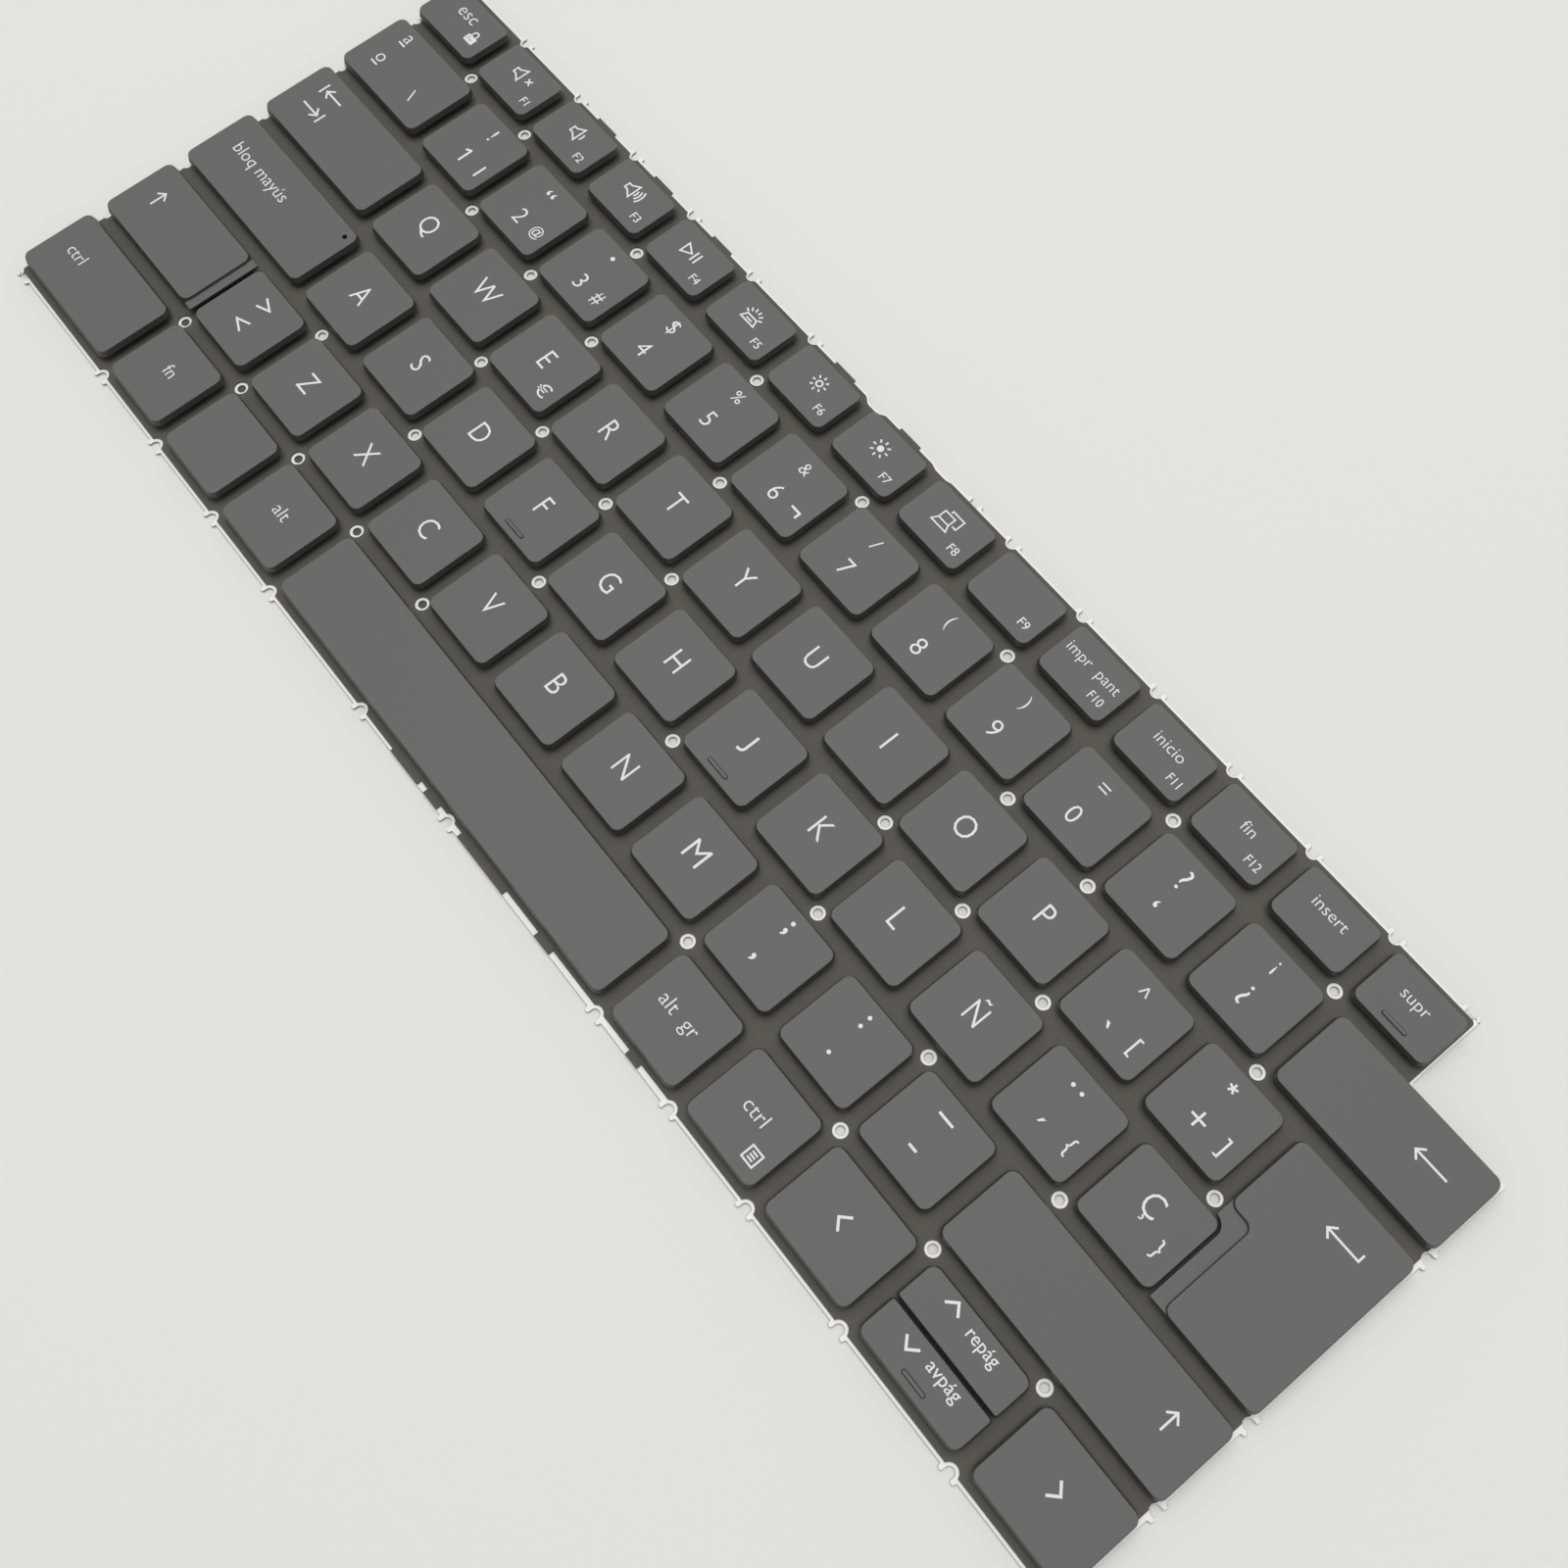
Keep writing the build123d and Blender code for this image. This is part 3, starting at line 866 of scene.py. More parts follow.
def drawn_signs():
    """Drawn signs by key: stroke width, the side that x counts from, x, y, and the strokes."""
    arrow_left = [[(3.1, 0), (-3.0, 0)], [(-1.95, 1.15), (-3.1, 0), (-1.95, -1.15)]]
    arrow_up = [[(0, -1.75), (0, 1.6)], [(-1.2, 0.55), (0, 1.75), (1.2, 0.55)]]
    tab_back = [
        [(-2.75, -1.3), (-2.75, 1.3)],
        [(2.85, 0), (-1.65, 0)],
        [(-0.5, 1.15), (-1.75, 0), (-0.5, -1.15)],
    ]
    hook = [*arc(-0.35, -0.95, 0.8, 0, -90), (-0.8, -1.75)]
    cross = [[(0.0, 0.6), (1.2, -0.6)], [(0.0, -0.6), (1.2, 0.6)]]
    waves = [arc(0.2, 0, reach, -34, 34) for reach in (1.2, 1.9, 2.6)]
    screen_behind = [(-0.55, 1.35), (-0.55, 1.8), (2.3, 1.8), (2.3, -0.3), (1.4, -0.3)]
    lit_keys = [(-1.2, 0.65), (1.2, 0.65), (1.75, -0.65), (-1.75, -0.65), (-1.2, 0.65)]
    return {
        "backspace": [(ARROW_WIDTH, 1, -8.65, 1.1, arrow_left)],
        "enter": [(ARROW_WIDTH, 1, -8.8, 10.05, [arrow_left[1], [(-3.0, 0), (3.1, 0), (3.1, 1.3)]])],
        "tab": [
            (TAB_WIDTH, -1, 7.4, 3.7, tab_back),
            (TAB_WIDTH, -1, 7.4, -1.05, [-np.array(path) for path in tab_back]),
        ],
        "shift_left": [(ARROW_WIDTH, -1, 5.9, 1.0, arrow_up)],
        "shift_right": [(ARROW_WIDTH, 1, -7.0, 1.0, arrow_up)],
        "arrow_left": [(CHEVRON_WIDTH, 0, -0.4, 0.6, [[(0.75, 1.5), (-0.75, 0), (0.75, -1.5)]])],
        "arrow_right": [(CHEVRON_WIDTH, 0, -0.3, 0.6, [[(-0.75, 1.5), (0.75, 0), (-0.75, -1.5)]])],
        "arrow_up": [(CHEVRON_WIDTH, 0, -4.2, 1.8, [[(-1.45, -0.75), (0, 0.75), (1.45, -0.75)]])],
        "arrow_down": [(CHEVRON_WIDTH, 0, -4.2, 1.0, [[(-1.45, 0.75), (0, -0.75), (1.45, 0.75)]])],
        "j": [(LETTER_WIDTH, 0, LETTER_SHIFT, LETTER_RISE, [[(0.45, 1.95), *hook]])],
        "1": [
            (DIGIT_WIDTH, 0, 0.2, DIGIT_RISE, [[(0.3, -1.65), (0.3, 1.6)], [(0.35, 1.55), (-0.75, 0.95)]]),
            (UPRIGHT_WIDTH, 0, 5.4, -2.7, [[(0, -1.5), (0, 1.5)]]),
        ],
        "plus": [(STAR_WIDTH, 0, -0.6, 4.5, rays(0.0, 0.85, np.arange(5) * 72 + 90))],
        "less_than": [
            (ANGLE_WIDTH, 0, -0.15, 3.6, [[(-1.35, 1.2), (1.35, 0), (-1.35, -1.2)]]),
            (ANGLE_WIDTH, 0, -0.15, -1.8, [[(1.35, 1.2), (-1.35, 0), (1.35, -1.2)]]),
        ],
        "minus": [
            (DASH_WIDTH, 0, -0.4, 4.1, [[(-1.55, 0), (1.55, 0)]]),
            (DASH_WIDTH, 0, -0.4, -2.5, [[(-0.85, 0), (0.85, 0)]]),
        ],
        "degree": [
            (UNDERLINE_WIDTH, 0, -6.5, 3.3, [[(-0.95, 0), (0.95, 0)]]),
            (UNDERLINE_WIDTH, 0, -6.5, -3.3, [[(-0.95, 0), (0.95, 0)]]),
        ],
        "ctrl_right": [
            (ICON_WIDTH, 0, 4.5, -3.9, [box_path(-1.2, 1.2, -1.2, 1.2)]),
            (FINE_WIDTH, 0, 4.5, -3.9, [[(-0.6, rise), (0.6, rise)] for rise in (-0.55, 0, 0.55)]),
        ],
        "escape": [(ICON_WIDTH, -1, LOCK_PLACE, -0.7, [[(-0.6, 0), *arc(0, 0.55, 0.6, 180, 0), (0.6, 0)]])],
        "f1": [(ICON_WIDTH, 0, 1.2, 1.0, [speaker(-2.2), *cross])],
        "f2": [(ICON_WIDTH, 0, -0.4, 1.0, [speaker(0), arc(0.1, 0, 1.5, -28, 28)])],
        "f3": [(ICON_WIDTH, 0, -1.0, 1.0, [speaker(0), *waves])],
        "f4": [
            (ICON_WIDTH, 0, -0.5, 0.75, [[(-1.9, 1.2), (0.2, 0), (-1.9, -1.2), (-1.9, 1.2)]]),
            (PAUSE_WIDTH, 0, -0.5, 0.75, [[(0.9, 1.2), (0.9, -1.2)], [(1.85, 1.2), (1.85, -1.2)]]),
        ],
        "f5": [
            (ICON_WIDTH, 0, -0.4, 0.05, [lit_keys]),
            (FINE_WIDTH, 0, -0.4, 0.05, [[(-0.75, -0.1), (0.75, -0.1)]]),
            (ICON_WIDTH, 0, -0.4, 0.3, rays(1.5, 2.3, np.linspace(25, 155, 6))),
        ],
        "f6": [(ICON_WIDTH, 0, 0.3, 1.1, [ring_path(0.6), *rays(1.15, 1.75, EIGHT_WAYS)])],
        "f7": [(ICON_WIDTH, 0, -0.6, 0.9, rays(1.2, 1.85, EIGHT_WAYS))],
        "f8": [
            (SCREEN_WIDTH, 0, -0.45, 0.75, [box_path(-1.6, 0.85, -0.7, 0.95)]),
            (SCREEN_WIDTH, 0, -0.45, 0.75, [[(-1.6, -0.7), (-2.2, -1.9), (1.45, -1.9), (0.85, -0.7)]]),
            (SCREEN_WIDTH, 0, -0.45, 0.75, [screen_behind]),
        ],
    }


def filled_signs():
    """Filled signs by key: the side that x counts from, x, y, and the outline."""
    dot = ring_path(DOT_RADIUS)[:-1]
    return {
        "escape": [(-1, LOCK_PLACE, -1.6, ring(box_corners(Key(-1.25, 1.25, -0.85, 0.85), 0.25, 0.25), 0))],
        "f7": [(0, -0.6, 0.9, ring_path(0.65)[:-1])],
        "3": [(0, DIGIT_SHIFT, 4.7, ring_path(0.45)[:-1])],
        "acute": [(0, x - 0.9, 4.4, dot) for x in (-0.95, 0.95)],
        "period": [(0, DIGIT_SHIFT, y, dot) for y in (5.1, 3.2, -3.1)],
    }


def sign_place(key, side, x, y):
    """Middle of a drawn sign on a cap."""
    along = {-1: key.left, 0: (key.left + key.right) / 2, 1: key.right}[side]
    return np.array([along + x, (key.front + key.back) / 2 + y])


def legend_parts():
    """Legends of every key, as shapes with their ink."""
    bottom, top = CAP_TOP - SINK, CAP_TOP + size("ink_height")
    parts = {name: [] for name in KEYS}
    for name, marks in text_marks().items():
        for mark in marks:
            parts[name].append(placed(text_shape(mark), KEYS[name], mark, on_base=False))
    for name, marks in word_marks().items():
        for mark in marks:
            parts[name].append(placed(text_shape(mark), KEYS[name], mark, on_base=True))
    for name, signs in drawn_signs().items():
        strokes = [(width, np.array(path) + sign_place(KEYS[name], side, x, y))
                   for width, side, x, y, paths in signs for path in paths]
        for step, (width, path) in enumerate(strokes):
            parts[name].append(ribbon(path, width, bottom, top + step * STROKE_STEP))
    for name, signs in filled_signs().items():
        for side, x, y, outline in signs:
            parts[name].append(slab(outline + sign_place(KEYS[name], side, x, y), bottom, top))
    inked = {name: [(shape, INK) for shape in shapes] for name, shapes in parts.items()}
    word = placed(text_shape(LOCK_MARK), KEYS["escape"], LOCK_MARK, on_base=False)
    inked["escape"].append((Shape(word.points + [0, 0, 2 * STROKE_STEP], word.faces), CAP))
    return inked


# Caps


def cap_corners(name):
    """Rounded corners of a cap's foot; the enter cap's back half reaches left past an inner corner."""
    key = KEYS[name]
    if name != "enter":
        front = SMALL_RADIUS if name == "arrow_up" else CORNER_RADIUS
        back = SMALL_RADIUS if name == "arrow_down" else CORNER_RADIUS
        back = FUNCTION_RADIUS if name in FUNCTION_NAMES else back
        return box_corners(key, front, back, FLARE)
    behind = box_corners(key._replace(front=ENTER_STEP), CORNER_RADIUS, CORNER_RADIUS, FLARE)
    before = box_corners(key._replace(left=ENTER_INNER), CORNER_RADIUS, CORNER_RADIUS, FLARE)
    inner = (ENTER_INNER - FLARE, ENTER_STEP - FLARE, CORNER_RADIUS - FLARE, 90, -1)
    return behind[:3] + [inner] + before[2:]


def cap_profile():
    """Insets and heights of a cap's section: pocket ceiling, wall, foot, drafted side, round edge, top."""
    edge = size("cap_edge")
    turn = np.radians(np.linspace(0, 90, EDGE_STEPS + 1))
    inset = FLARE + edge * (1 - np.cos(turn))
    height = CAP_TOP - edge * (1 - np.sin(turn))
    wall = FLARE + CAP_WALL
    inside = [(wall, CEILING), (wall, CAP_BOTTOM), (0, CAP_BOTTOM)]
    return inside + list(zip(inset, height)) + [(inset[-1] + edge / 2, CAP_TOP)]


def bar_shape(key):
    """Slim ridge that a finger finds: a long round-ended outline with drafted sides and a bevelled edge."""
    middle = (key.left + key.right) / 2
    front = key.front + BAR_INSET
    half = BAR_WIDTH / 2
    bar = Key(middle - BAR_LENGTH / 2, middle + BAR_LENGTH / 2, front - half, front + half)
    profile = [
        (0, CAP_TOP - SINK),
        (0, CAP_TOP),
        (BAR_SLOPE, BAR_TOP - BAR_EDGE),
        (BAR_SLOPE + BAR_EDGE, BAR_TOP),
    ]
    return moulding(box_corners(bar, half, half), profile)


def ledge_shape(name):
    """Low ledge beside a raised cap: its outline at the foot, given a thickness."""
    if name == "shift_left":
        key = KEYS[name]
        edge = KEYS["less_than"].left - SHIFT_LEDGE_GAP
        outline = [(key.right, key.front), (edge, key.front), (edge, key.back), (key.right, key.back)]
    else:
        key = KEYS["c_cedilla"]
        reach = CORNER_RADIUS + LEDGE_GAP
        bend = arc(key.right - CORNER_RADIUS, key.back - CORNER_RADIUS, reach, 90, 0)
        left = KEYS["enter"].left
        outline = [(left, ENTER_STEP + CORNER_RADIUS), (left, bend[0, 1]), *bend]
        outline += [(bend[-1, 0], key.front), (ENTER_INNER + CORNER_RADIUS, key.front)]
        outline += [(ENTER_INNER + CORNER_RADIUS, ENTER_STEP + CORNER_RADIUS)]
    return slab(outline, CAP_BOTTOM, CAP_TOP - LEDGE_DROP)


def cap_parts(name, legends):
    """Shell of one cap with its ledge, bar and legends."""
    parts = [(moulding(cap_corners(name), cap_profile()), CAP)]
    if name in ("enter", "shift_left"):
        parts.append((ledge_shape(name), CAP))
    if name in BARRED_NAMES:
        parts.append((bar_shape(KEYS[name]), CAP))
    return parts + legends[name]


def cut_round_hole(obj, x, y, radius):
    """Cut an upright round hole through a mesh."""
    column = turned(x, y, [(radius, CAP_BOTTOM), (radius, CAP_TOP + CUT_ABOVE)])
    cutter = make_object("cutter", [(column, CAP)])
    cut = obj.modifiers.new("hole", "BOOLEAN")
    cut.object = cutter
    cut.solver = "EXACT"
    bpy.context.view_layer.update()
    mesh = bpy.data.meshes.new_from_object(obj.evaluated_get(bpy.context.evaluated_depsgraph_get()))
    mesh.set_sharp_from_angle(angle=np.radians(SHARP_ANGLE))
    obj.modifiers.remove(cut)
    obj.data = mesh
    bpy.data.objects.remove(cutter)


# Lifts under the caps

LIFT_HEIGHT = LIFT_TOP - FILM_TOP
# Radius, and share of the lift's height
DOME_PROFILE = (
    (3.1, 0.0),
    (3.1, 0.1),
    (2.5, 0.14),
    (1.9, 0.69),
    (1.75, 0.86),
    (1.45, 0.92),
    (1.2, 1.0),
    (0.3, 1.0),
)
SCISSOR_REACH = 5.0
SCISSOR_HALF = 4.3
SCISSOR_STEP = 1.2
SCISSOR_NEST = 0.9  # how much shorter the inner frame is at each end
LOW_KEY_GAIN = 0.6  # added to the reach where a key is too low for the full frame
SHALLOW_KEY = 8.0
SHALLOW_REACH = 2.6
SHALLOW_SPREAD = 6.2
WIDE_KEY = 26.0
WIRE_SIDE = 3.2  # from a key's sides to its wire, and likewise at its front and back
WIRE_FRONT = 3.0
WIRE_BACK = 2.6
WIRE_BEND = 0.6


def scissor_frame(x, y, reach, half, low, high, bar):
    """Rectangular frame that slopes along x from low to high, its bars round in section."""
    corner = np.array([(-reach, -half), (reach, -half), (reach, half), (-reach, half)])
    height = np.array([low, high, high, low])
    path = np.column_stack([corner + [x, y], height])
    return tube(path, bar / 2, closed=True)


def level_wire(key, radius):
    """Bent wire that keeps a wide key level: a long bar with a leg at each end that slopes to the film."""
    x0, x1 = key.left + WIRE_SIDE, key.right - WIRE_SIDE
    y0, y1 = key.front + WIRE_FRONT, key.back - WIRE_BACK
    low, high = FILM_TOP + radius, LIFT_TOP - radius
    path = [(x0, y0, low), (x0, y1 - WIRE_BEND, high), (x0 + WIRE_BEND, y1, high)]
    path += [(x1 - WIRE_BEND, y1, high), (x1, y1 - WIRE_BEND, high), (x1, y0, low)]
    return tube(path, radius, closed=False)


def lift_parts(name):
    """Dome, two crossed scissor frames and, under a wide key, a wire."""
    key = KEYS[name]
    if name == "enter":
        key = key._replace(left=ENTER_INNER)
    x, y = (key.left + key.right) / 2, (key.front + key.back) / 2
    bar = size("scissor_bar")
    low, high = FILM_TOP + bar / 2, LIFT_TOP - bar / 2
    dome = np.array(DOME_PROFILE) * [1, LIFT_HEIGHT] + [0, FILM_TOP]
    parts = [(turned(x, y, dome), DOME)]
    shallow = key.back - key.front < SHALLOW_KEY
    middles = (x - SHALLOW_SPREAD, x + SHALLOW_SPREAD) if shallow else (x,)
    reach = SHALLOW_REACH if shallow else SCISSOR_REACH
    half = min(SCISSOR_HALF, (key.back - key.front) / 2 - CAP_WALL - bar / 2)
    if not shallow and half < SCISSOR_HALF:
        reach = SCISSOR_REACH + LOW_KEY_GAIN
    for middle in middles:
        inner = half - SCISSOR_STEP
        parts.append((scissor_frame(middle, y, reach, half, low, high, bar), SCISSOR))
        parts.append((scissor_frame(middle, y, reach - SCISSOR_NEST, inner, high, low, bar), SCISSOR))
    if key.right - key.left > WIDE_KEY:
        parts.append((level_wire(key, size("wire_diameter") / 2), WIRE))
    return parts


# Plate and film


def notch_profile():
    """Along and out from the rim: a round-bottomed notch between two ears with rounded tips."""
    radius = size("notch_radius")
    width = size("ear_width")
    middle = radius - NOTCH_DEPTH
    far = radius + width
    shoulder = EAR_LENGTH - EAR_TIP
    half = np.concatenate([
        arc(0, middle, radius, -90, 0),
        arc(radius + EAR_TIP, shoulder, EAR_TIP, 180, 90, EAR_STEPS),
        arc(far - EAR_TIP, shoulder, EAR_TIP, 90, 0, EAR_STEPS),
        arc(far + EAR_ROOT, EAR_ROOT, EAR_ROOT, 180, 270, ROOT_STEPS),
    ])
    return np.concatenate([half[:0:-1] * [-1, 1], half])


def dip_profile(depth, inset):
    """Along and out from the rim: a wide dip with a level floor and ends like half a cosine wave."""
    along = np.linspace(-DIP_WIDTH / 2, DIP_WIDTH / 2, DIP_STEPS)
    slope = np.clip((2 * np.abs(along) - DIP_FLOOR) / (DIP_WIDTH - DIP_FLOOR), 0, 1)
    return np.column_stack([along, -inset - depth * (1 + np.cos(np.pi * slope)) / 2])


def film_inset(side, place):
    """How far the film stays behind the plate's rim at a place on one side."""
    wide = side == "front" and STRIP_START < place < STRIP_END
    return BARE_INSET if wide else FILM_INSETS[side]


def film_bite(before, after, margin):
    """Along and out from the plate's rim: the film's edge runs round a notch in a wider circle.

    It starts and ends at the insets of the film before and after the notch.
    """
    radius = size("notch_radius")
    reach = radius + margin
    middle = radius - NOTCH_DEPTH
    start, stop = np.degrees(np.arcsin((np.array([before, after]) + middle) / reach))
    return arc(0, middle, reach, 180 + start, 360 - stop, BITE_STEPS)


def film_tab(width, before, after):
    """Along and out from the plate's rim: a tab of film that reaches it."""
    near = PLATE_FRONT - film_points[:, 1].min()
    half = width / 2
    return np.array([(-half, -before), (-half, near), (half, near), (half, -after)])


def rim(insets, features, corner_radius):
    """Outline of the plate or film, moved inwards by each side's inset, with round corners and features.

    Features are pairs of a place along the side and a profile, counted along and out from the plate's rim.
    """
    left, right = PLATE_LEFT + insets["left"], PLATE_RIGHT - insets["right"]
    front, back = PLATE_FRONT + insets["front"], PLATE_BACK - insets["back"]
    step_x, step_y = CORNER_X - insets["step"], CORNER_Y - insets["back"]
    corners = [
        (left, front, corner_radius, 180, 1),
        (right, front, corner_radius, 270, 1),
        (right, step_y, corner_radius, 0, 1),
        (step_x, step_y, corner_radius, 270, -1),
        (step_x, back, corner_radius, 0, 1),
        (left, back, corner_radius, 90, 1),
    ]
    bends = ring(corners, 0).reshape(len(corners), -1, 2)
    x, y = np.eye(2)
    sides = {
        0: ("front", x, PLATE_FRONT * y, -y),
        1: ("right", y, PLATE_RIGHT * x, x),
        4: ("back", -x, PLATE_BACK * y, y),
        5: ("left", -y, PLATE_LEFT * x, -x),
    }
    outline = []
    for number, bend in enumerate(bends):
        outline.append(bend)
        if number not in sides:
            continue
        side, along, base, out = sides[number]
        direction = along.sum()
        for place, profile in sorted(features[side], key=lambda feature: direction * feature[0]):
            outline.append(base + np.abs(along) * place + profile[:, :1] * along + profile[:, 1:] * out)
    return np.concatenate(outline)


def bitten(side):
    """Notches that the film's edge runs round: not those at a corner, and not the lone one behind a key."""
    start = PLATE_LEFT if side in ("front", "back") else PLATE_FRONT
    stop = {"front": PLATE_RIGHT, "right": CORNER_Y, "back": CORNER_X, "left": PLATE_BACK}[side]
    places = NOTCHES[side]
    places = places[(places > start + CORNER_REACH) & (places < stop - CORNER_REACH)]
    return places[np.abs(places - LONE_NOTCH) > NOTCH_DEPTH] if side == "back" else places


def holes(places, radius):
    """Round outlines about some places."""
    return [arc(x, y, radius, 0, 360, HOLE_STEPS)[:-1] for x, y in places]


# Operators


class KEYBOARD_OT_finishes(bpy.types.Operator):
    """Make the finishes that all pieces take"""

    bl_idname = "keyboard.finishes"
    bl_label = "Finishes"

    def execute(self, context):
        make_finishes()
        return {"FINISHED"}


class KEYBOARD_OT_support_plate(bpy.types.Operator):
    """Make the stamped support plate with its stake holes, notches and ears, and dark discs of painted
    shade in some holes
    """

    bl_idname = "keyboard.support_plate"
    bl_label = "Support plate"

    def execute(self, context):
        profile = notch_profile()
        features = {side: [(place, profile) for place in places] for side, places in NOTCHES.items()}
        features["back"] += [(place, dip_profile(depth, 0)) for place, depth in DIPS]
        outline = rim(dict.fromkeys(FILM_INSETS, 0), features, PLATE_CORNER)
        shape = sheet(outline, holes(STAKES, STAKE_RADIUS), 0, PLATE_TOP, PLATE_BEVEL)
        # Painted shade: discs of dark film in the front-left stake holes make them read dark
        shaded_stakes = STAKES[(STAKES[:, 0] < KEYS["b"].left) & (STAKES[:, 1] < KEYS["b"].front)]
        shade_discs = [(slab(hole, SHADE_DISC_BOTTOM, SHADE_DISC_TOP), FILM) for hole in holes(shaded_stakes, STAKE_RADIUS)]
        plate = make_object("support_plate", [(shape, PLATE), *shade_discs])
        # Painted shade: the plate's upright sides take the dark edge finish
        paint_shade_on_sides(plate, RIM_SHADE_FINISH)
        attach(plate, "base")
        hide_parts("base_plate")
        return {"FINISHED"}


class KEYBOARD_OT_switch_film(bpy.types.Operator):
    """Make the dark switch film with its ring openings and tabs"""

    bl_idname = "keyboard.switch_film"
    bl_label = "Switch film"

    def execute(self, context):
        features = {}
        for side, margin in BITE_RINGS.items():
            features[side] = []
            for place in bitten(side):
                before = film_inset(side, place - BITE_REACH)
                after = film_inset(side, place + BITE_REACH)
                features[side].append((place, film_bite(before, after, margin)))
            for start, stop in TABS.get(side, ()):
                tab = film_tab(stop - start, film_inset(side, start), film_inset(side, stop))
                features[side].append(((start + stop) / 2, tab))
        features["back"] += [(place, dip_profile(depth, FILM_INSETS["back"])) for place, depth in DIPS]
        outline = rim(FILM_INSETS, features, FILM_CORNER)
        rings = holes(STAKES, STAKE_RADIUS + STAKE_RING)
        shape = sheet(outline, rings, PLATE_TOP, FILM_TOP, FILM_BEVEL)
        film = make_object("switch_film", [(shape, FILM)])
        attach(film, "base")
        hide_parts("switch_membrane")
        return {"FINISHED"}


class KEYBOARD_OT_key_lifts(bpy.types.Operator):
    """Make the dome, scissor frames and wire under every cap"""

    bl_idname = "keyboard.key_lifts"
    bl_label = "Key lifts"

    def execute(self, context):
        for name in MOVING_NAMES:
            lift = make_object("lift_" + name, lift_parts(name))
            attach(lift, "base")
            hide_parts("rubber_domes")
            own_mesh(lift)
        parts = [part for name in FUNCTION_NAMES + NUMBER_NAMES for part in lift_parts(name)]
        fixed = make_object("fixed_lifts", parts)
        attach(fixed, "base")
        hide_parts("rubber_domes")
        return {"FINISHED"}


class KEYBOARD_OT_caps(bpy.types.Operator):
    """Make the caps of all keys with their legends"""

    bl_idname = "keyboard.caps"
    bl_label = "Caps and legends"

    def execute(self, context):
        legends = legend_parts()
        for name in MOVING_NAMES:
            cap = make_object("cap_" + name, cap_parts(name, legends))
            if name == "caps_lock":
                x, y = KEYS[name].right - LIGHT_HOLE_INSET, KEYS[name].back - LIGHT_HOLE_INSET
                cut_round_hole(cap, x, y, LIGHT_HOLE_RADIUS)
            # Painted shade: the upright sides of the cap take the darker side finish
            paint_shade_on_sides(cap, SIDE_SHADE_FINISH)
            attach(cap, "key_" + name)
            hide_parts("key_" + name)
        for row, names in (("function_row_caps", FUNCTION_NAMES), ("number_row_caps", NUMBER_NAMES)):
            parts = [part for name in names for part in cap_parts(name, legends)]
            caps = make_object("dressed_" + row, parts)
            # Painted shade: the upright sides of the caps take the darker side finish
            paint_shade_on_sides(caps, SIDE_SHADE_FINISH)
            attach(caps, "base")
            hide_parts(row)
        return {"FINISHED"}


# Stage, with the camera fitted to the photograph
CAMERA_PLACE = (101.285, -53.62, 248.68)
CAMERA_RIGHT = (0.62617, 0.77887, -0.03577)
CAMERA_UP = (-0.72726, 0.59999, 0.33333)
CAMERA_HEADING = (-0.28108, 0.18270, -0.94213)
CAMERA_LENS = 36.884
SENSOR = 36.0
CLIP_START = 10.0
FLOOR_SIZE = 6000.0
FLOOR_TOP = -0.01
FLOOR_BOTTOM = -1.0
WORLD_COLOUR = "fbfcff"
WORLD_LIGHT = 0.42
WINDOW_PLACE = (-450.0, 540.0, 3000.0)
WINDOW_SIZE = 3000.0
WINDOW_POWER = 68.0


def pose(right, up, back, place):
    """Matrix of a lamp or camera from its three directions and its place in millimetres."""
    matrix = np.eye(4)
    matrix[:3] = np.column_stack([right, up, back, np.array(place) * MM])
    return Matrix(matrix.tolist())


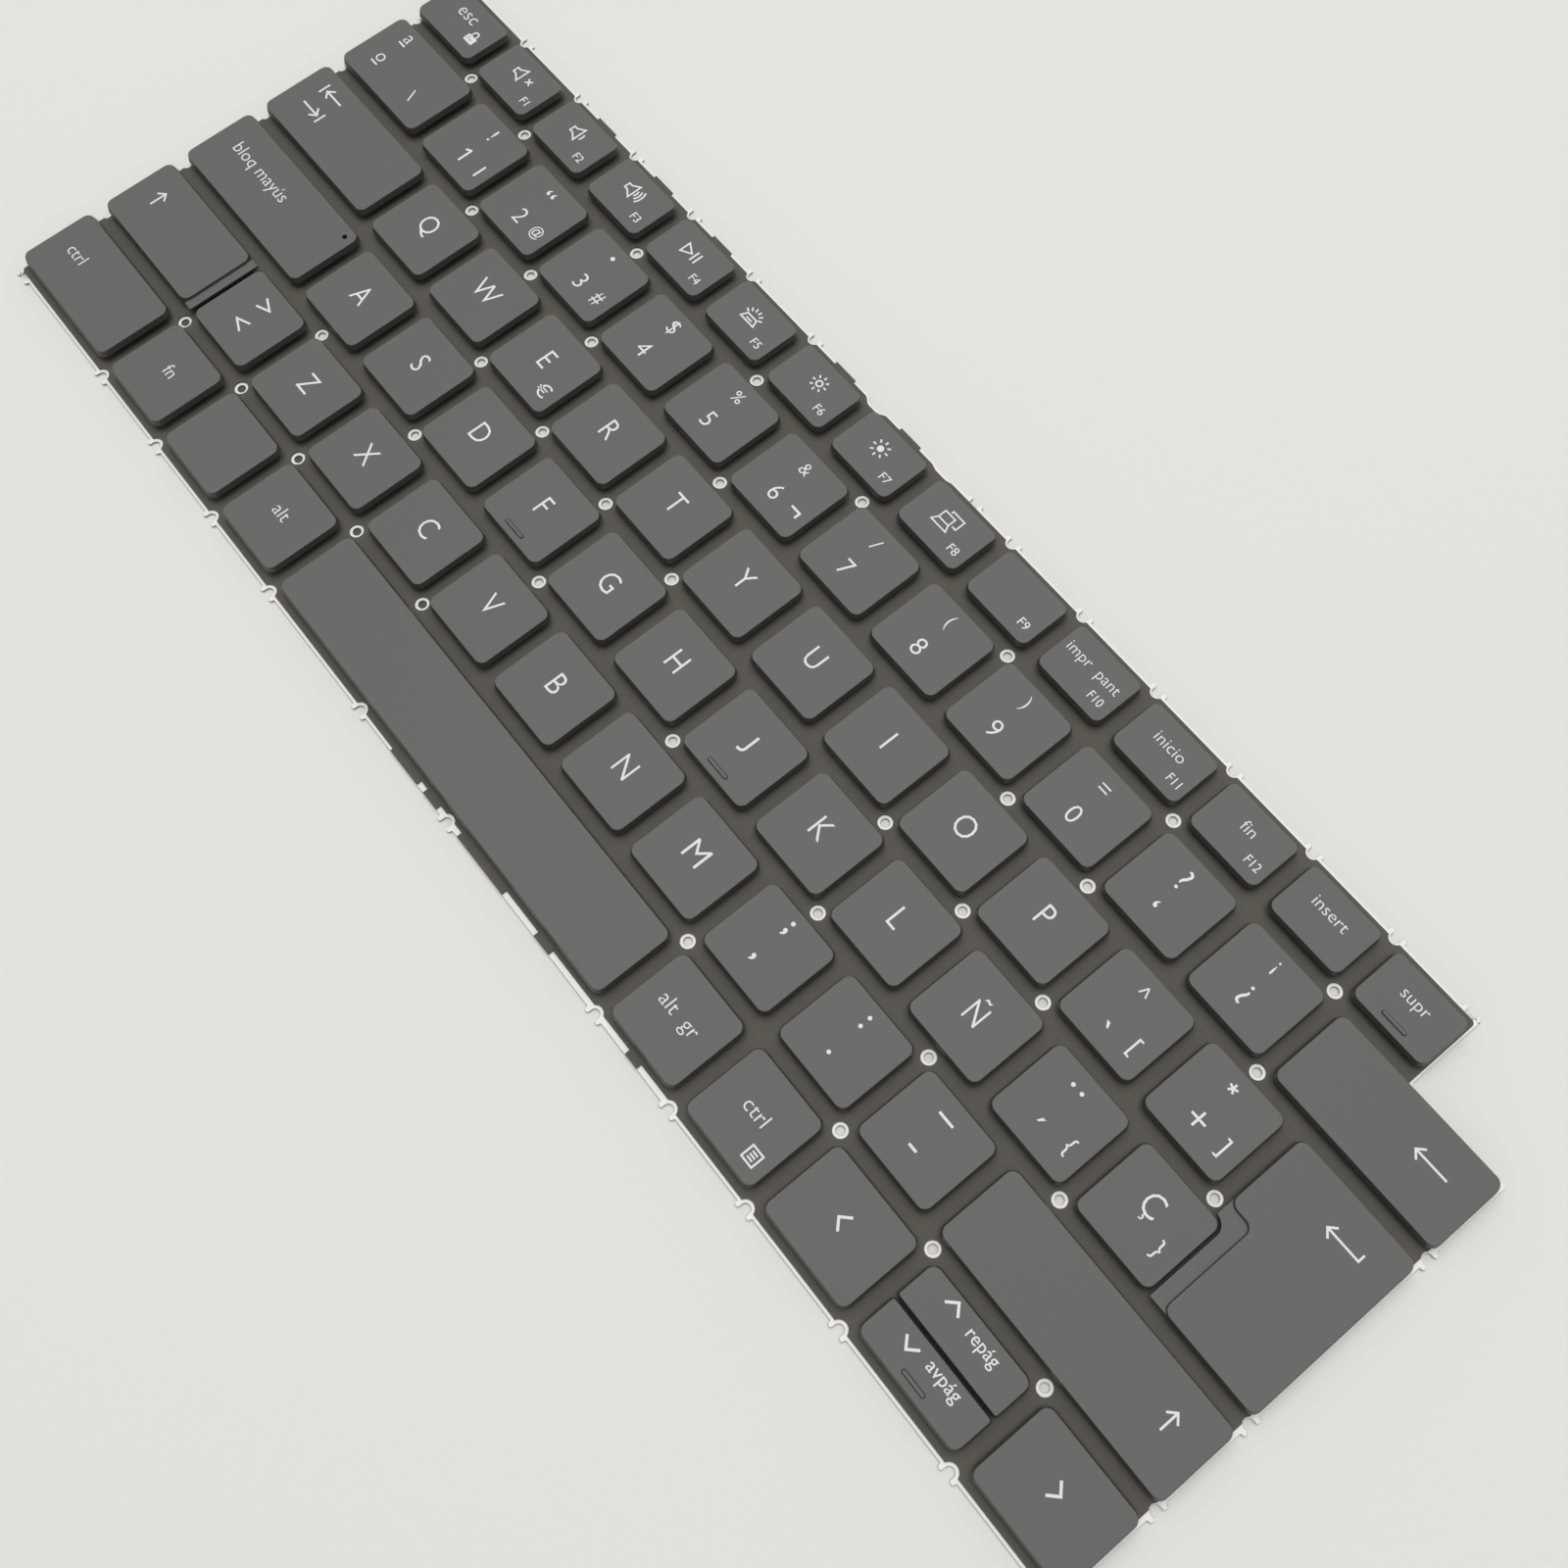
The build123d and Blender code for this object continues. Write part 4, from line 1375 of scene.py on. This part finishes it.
class KEYBOARD_OT_stage(bpy.types.Operator):
    """Make the pale floor, the light and the camera"""

    bl_idname = "keyboard.stage"
    bl_label = "Stage"

    def execute(self, context):
        half = FLOOR_SIZE / 2
        outline = [(-half, -half), (half, -half), (half, half), (-half, half)]
        floor = make_object("floor", [(slab(outline, FLOOR_BOTTOM, FLOOR_TOP), FLOOR)])

        scene = context.scene
        scene.view_settings.view_transform = "Standard"
        scene.world = bpy.data.worlds.new("room")
        scene.world.use_nodes = True
        background = scene.world.node_tree.nodes["Background"]
        background.inputs["Color"].default_value = linear(WORLD_COLOUR)
        background.inputs["Strength"].default_value = WORLD_LIGHT

        window = bpy.data.lights.new("window", "AREA")
        window.shape = "SQUARE"
        window.size = WINDOW_SIZE * MM
        window.energy = WINDOW_POWER
        lamp = bpy.data.objects.new("window", window)
        place = np.array(WINDOW_PLACE)
        back = place / np.linalg.norm(place)
        right = np.cross((0, 0, 1), back)
        right /= np.linalg.norm(right)
        lamp.matrix_world = pose(right, np.cross(back, right), back, place)
        scene.collection.objects.link(lamp)

        lens = bpy.data.cameras.new("photograph")
        lens.sensor_width = SENSOR
        lens.lens = CAMERA_LENS
        lens.clip_start = CLIP_START * MM
        camera = bpy.data.objects.new("photograph", lens)
        camera.matrix_world = pose(CAMERA_RIGHT, CAMERA_UP, -np.array(CAMERA_HEADING), CAMERA_PLACE)
        scene.collection.objects.link(camera)
        scene.camera = camera
        return {"FINISHED"}


class KEYBOARD_PT_sidebar(bpy.types.Panel):
    """Keyboard pieces, sizes and colours"""

    bl_idname = "KEYBOARD_PT_sidebar"
    bl_label = "Laptop keyboard"
    bl_space_type = "VIEW_3D"
    bl_region_type = "UI"
    bl_category = "Keyboard"

    def draw(self, context):
        for operator in OPERATORS:
            self.layout.operator(operator.bl_idname)
        for group in (context.scene.keyboard_sizes, context.scene.keyboard_colours):
            column = self.layout.column()
            for name in group.__annotations__:
                column.prop(group, name)


OPERATORS = (
    KEYBOARD_OT_finishes,
    KEYBOARD_OT_support_plate,
    KEYBOARD_OT_switch_film,
    KEYBOARD_OT_key_lifts,
    KEYBOARD_OT_caps,
    KEYBOARD_OT_stage,
)
CLASSES = (KeyboardSizes, KeyboardColours, *OPERATORS, KEYBOARD_PT_sidebar)


def register():
    for cls in CLASSES:
        bpy.utils.register_class(cls)
    bpy.types.Scene.keyboard_sizes = bpy.props.PointerProperty(type=KeyboardSizes)
    bpy.types.Scene.keyboard_colours = bpy.props.PointerProperty(type=KeyboardColours)


def unregister():
    del bpy.types.Scene.keyboard_colours
    del bpy.types.Scene.keyboard_sizes
    for cls in reversed(CLASSES):
        bpy.utils.unregister_class(cls)


def main():
    """Build the keyboard and its stage."""
    register()
    bpy.ops.keyboard.finishes()
    bpy.ops.keyboard.support_plate()
    bpy.ops.keyboard.switch_film()
    bpy.ops.keyboard.key_lifts()
    bpy.ops.keyboard.caps()
    bpy.ops.keyboard.stage()


if __name__ == "__main__":
    main()
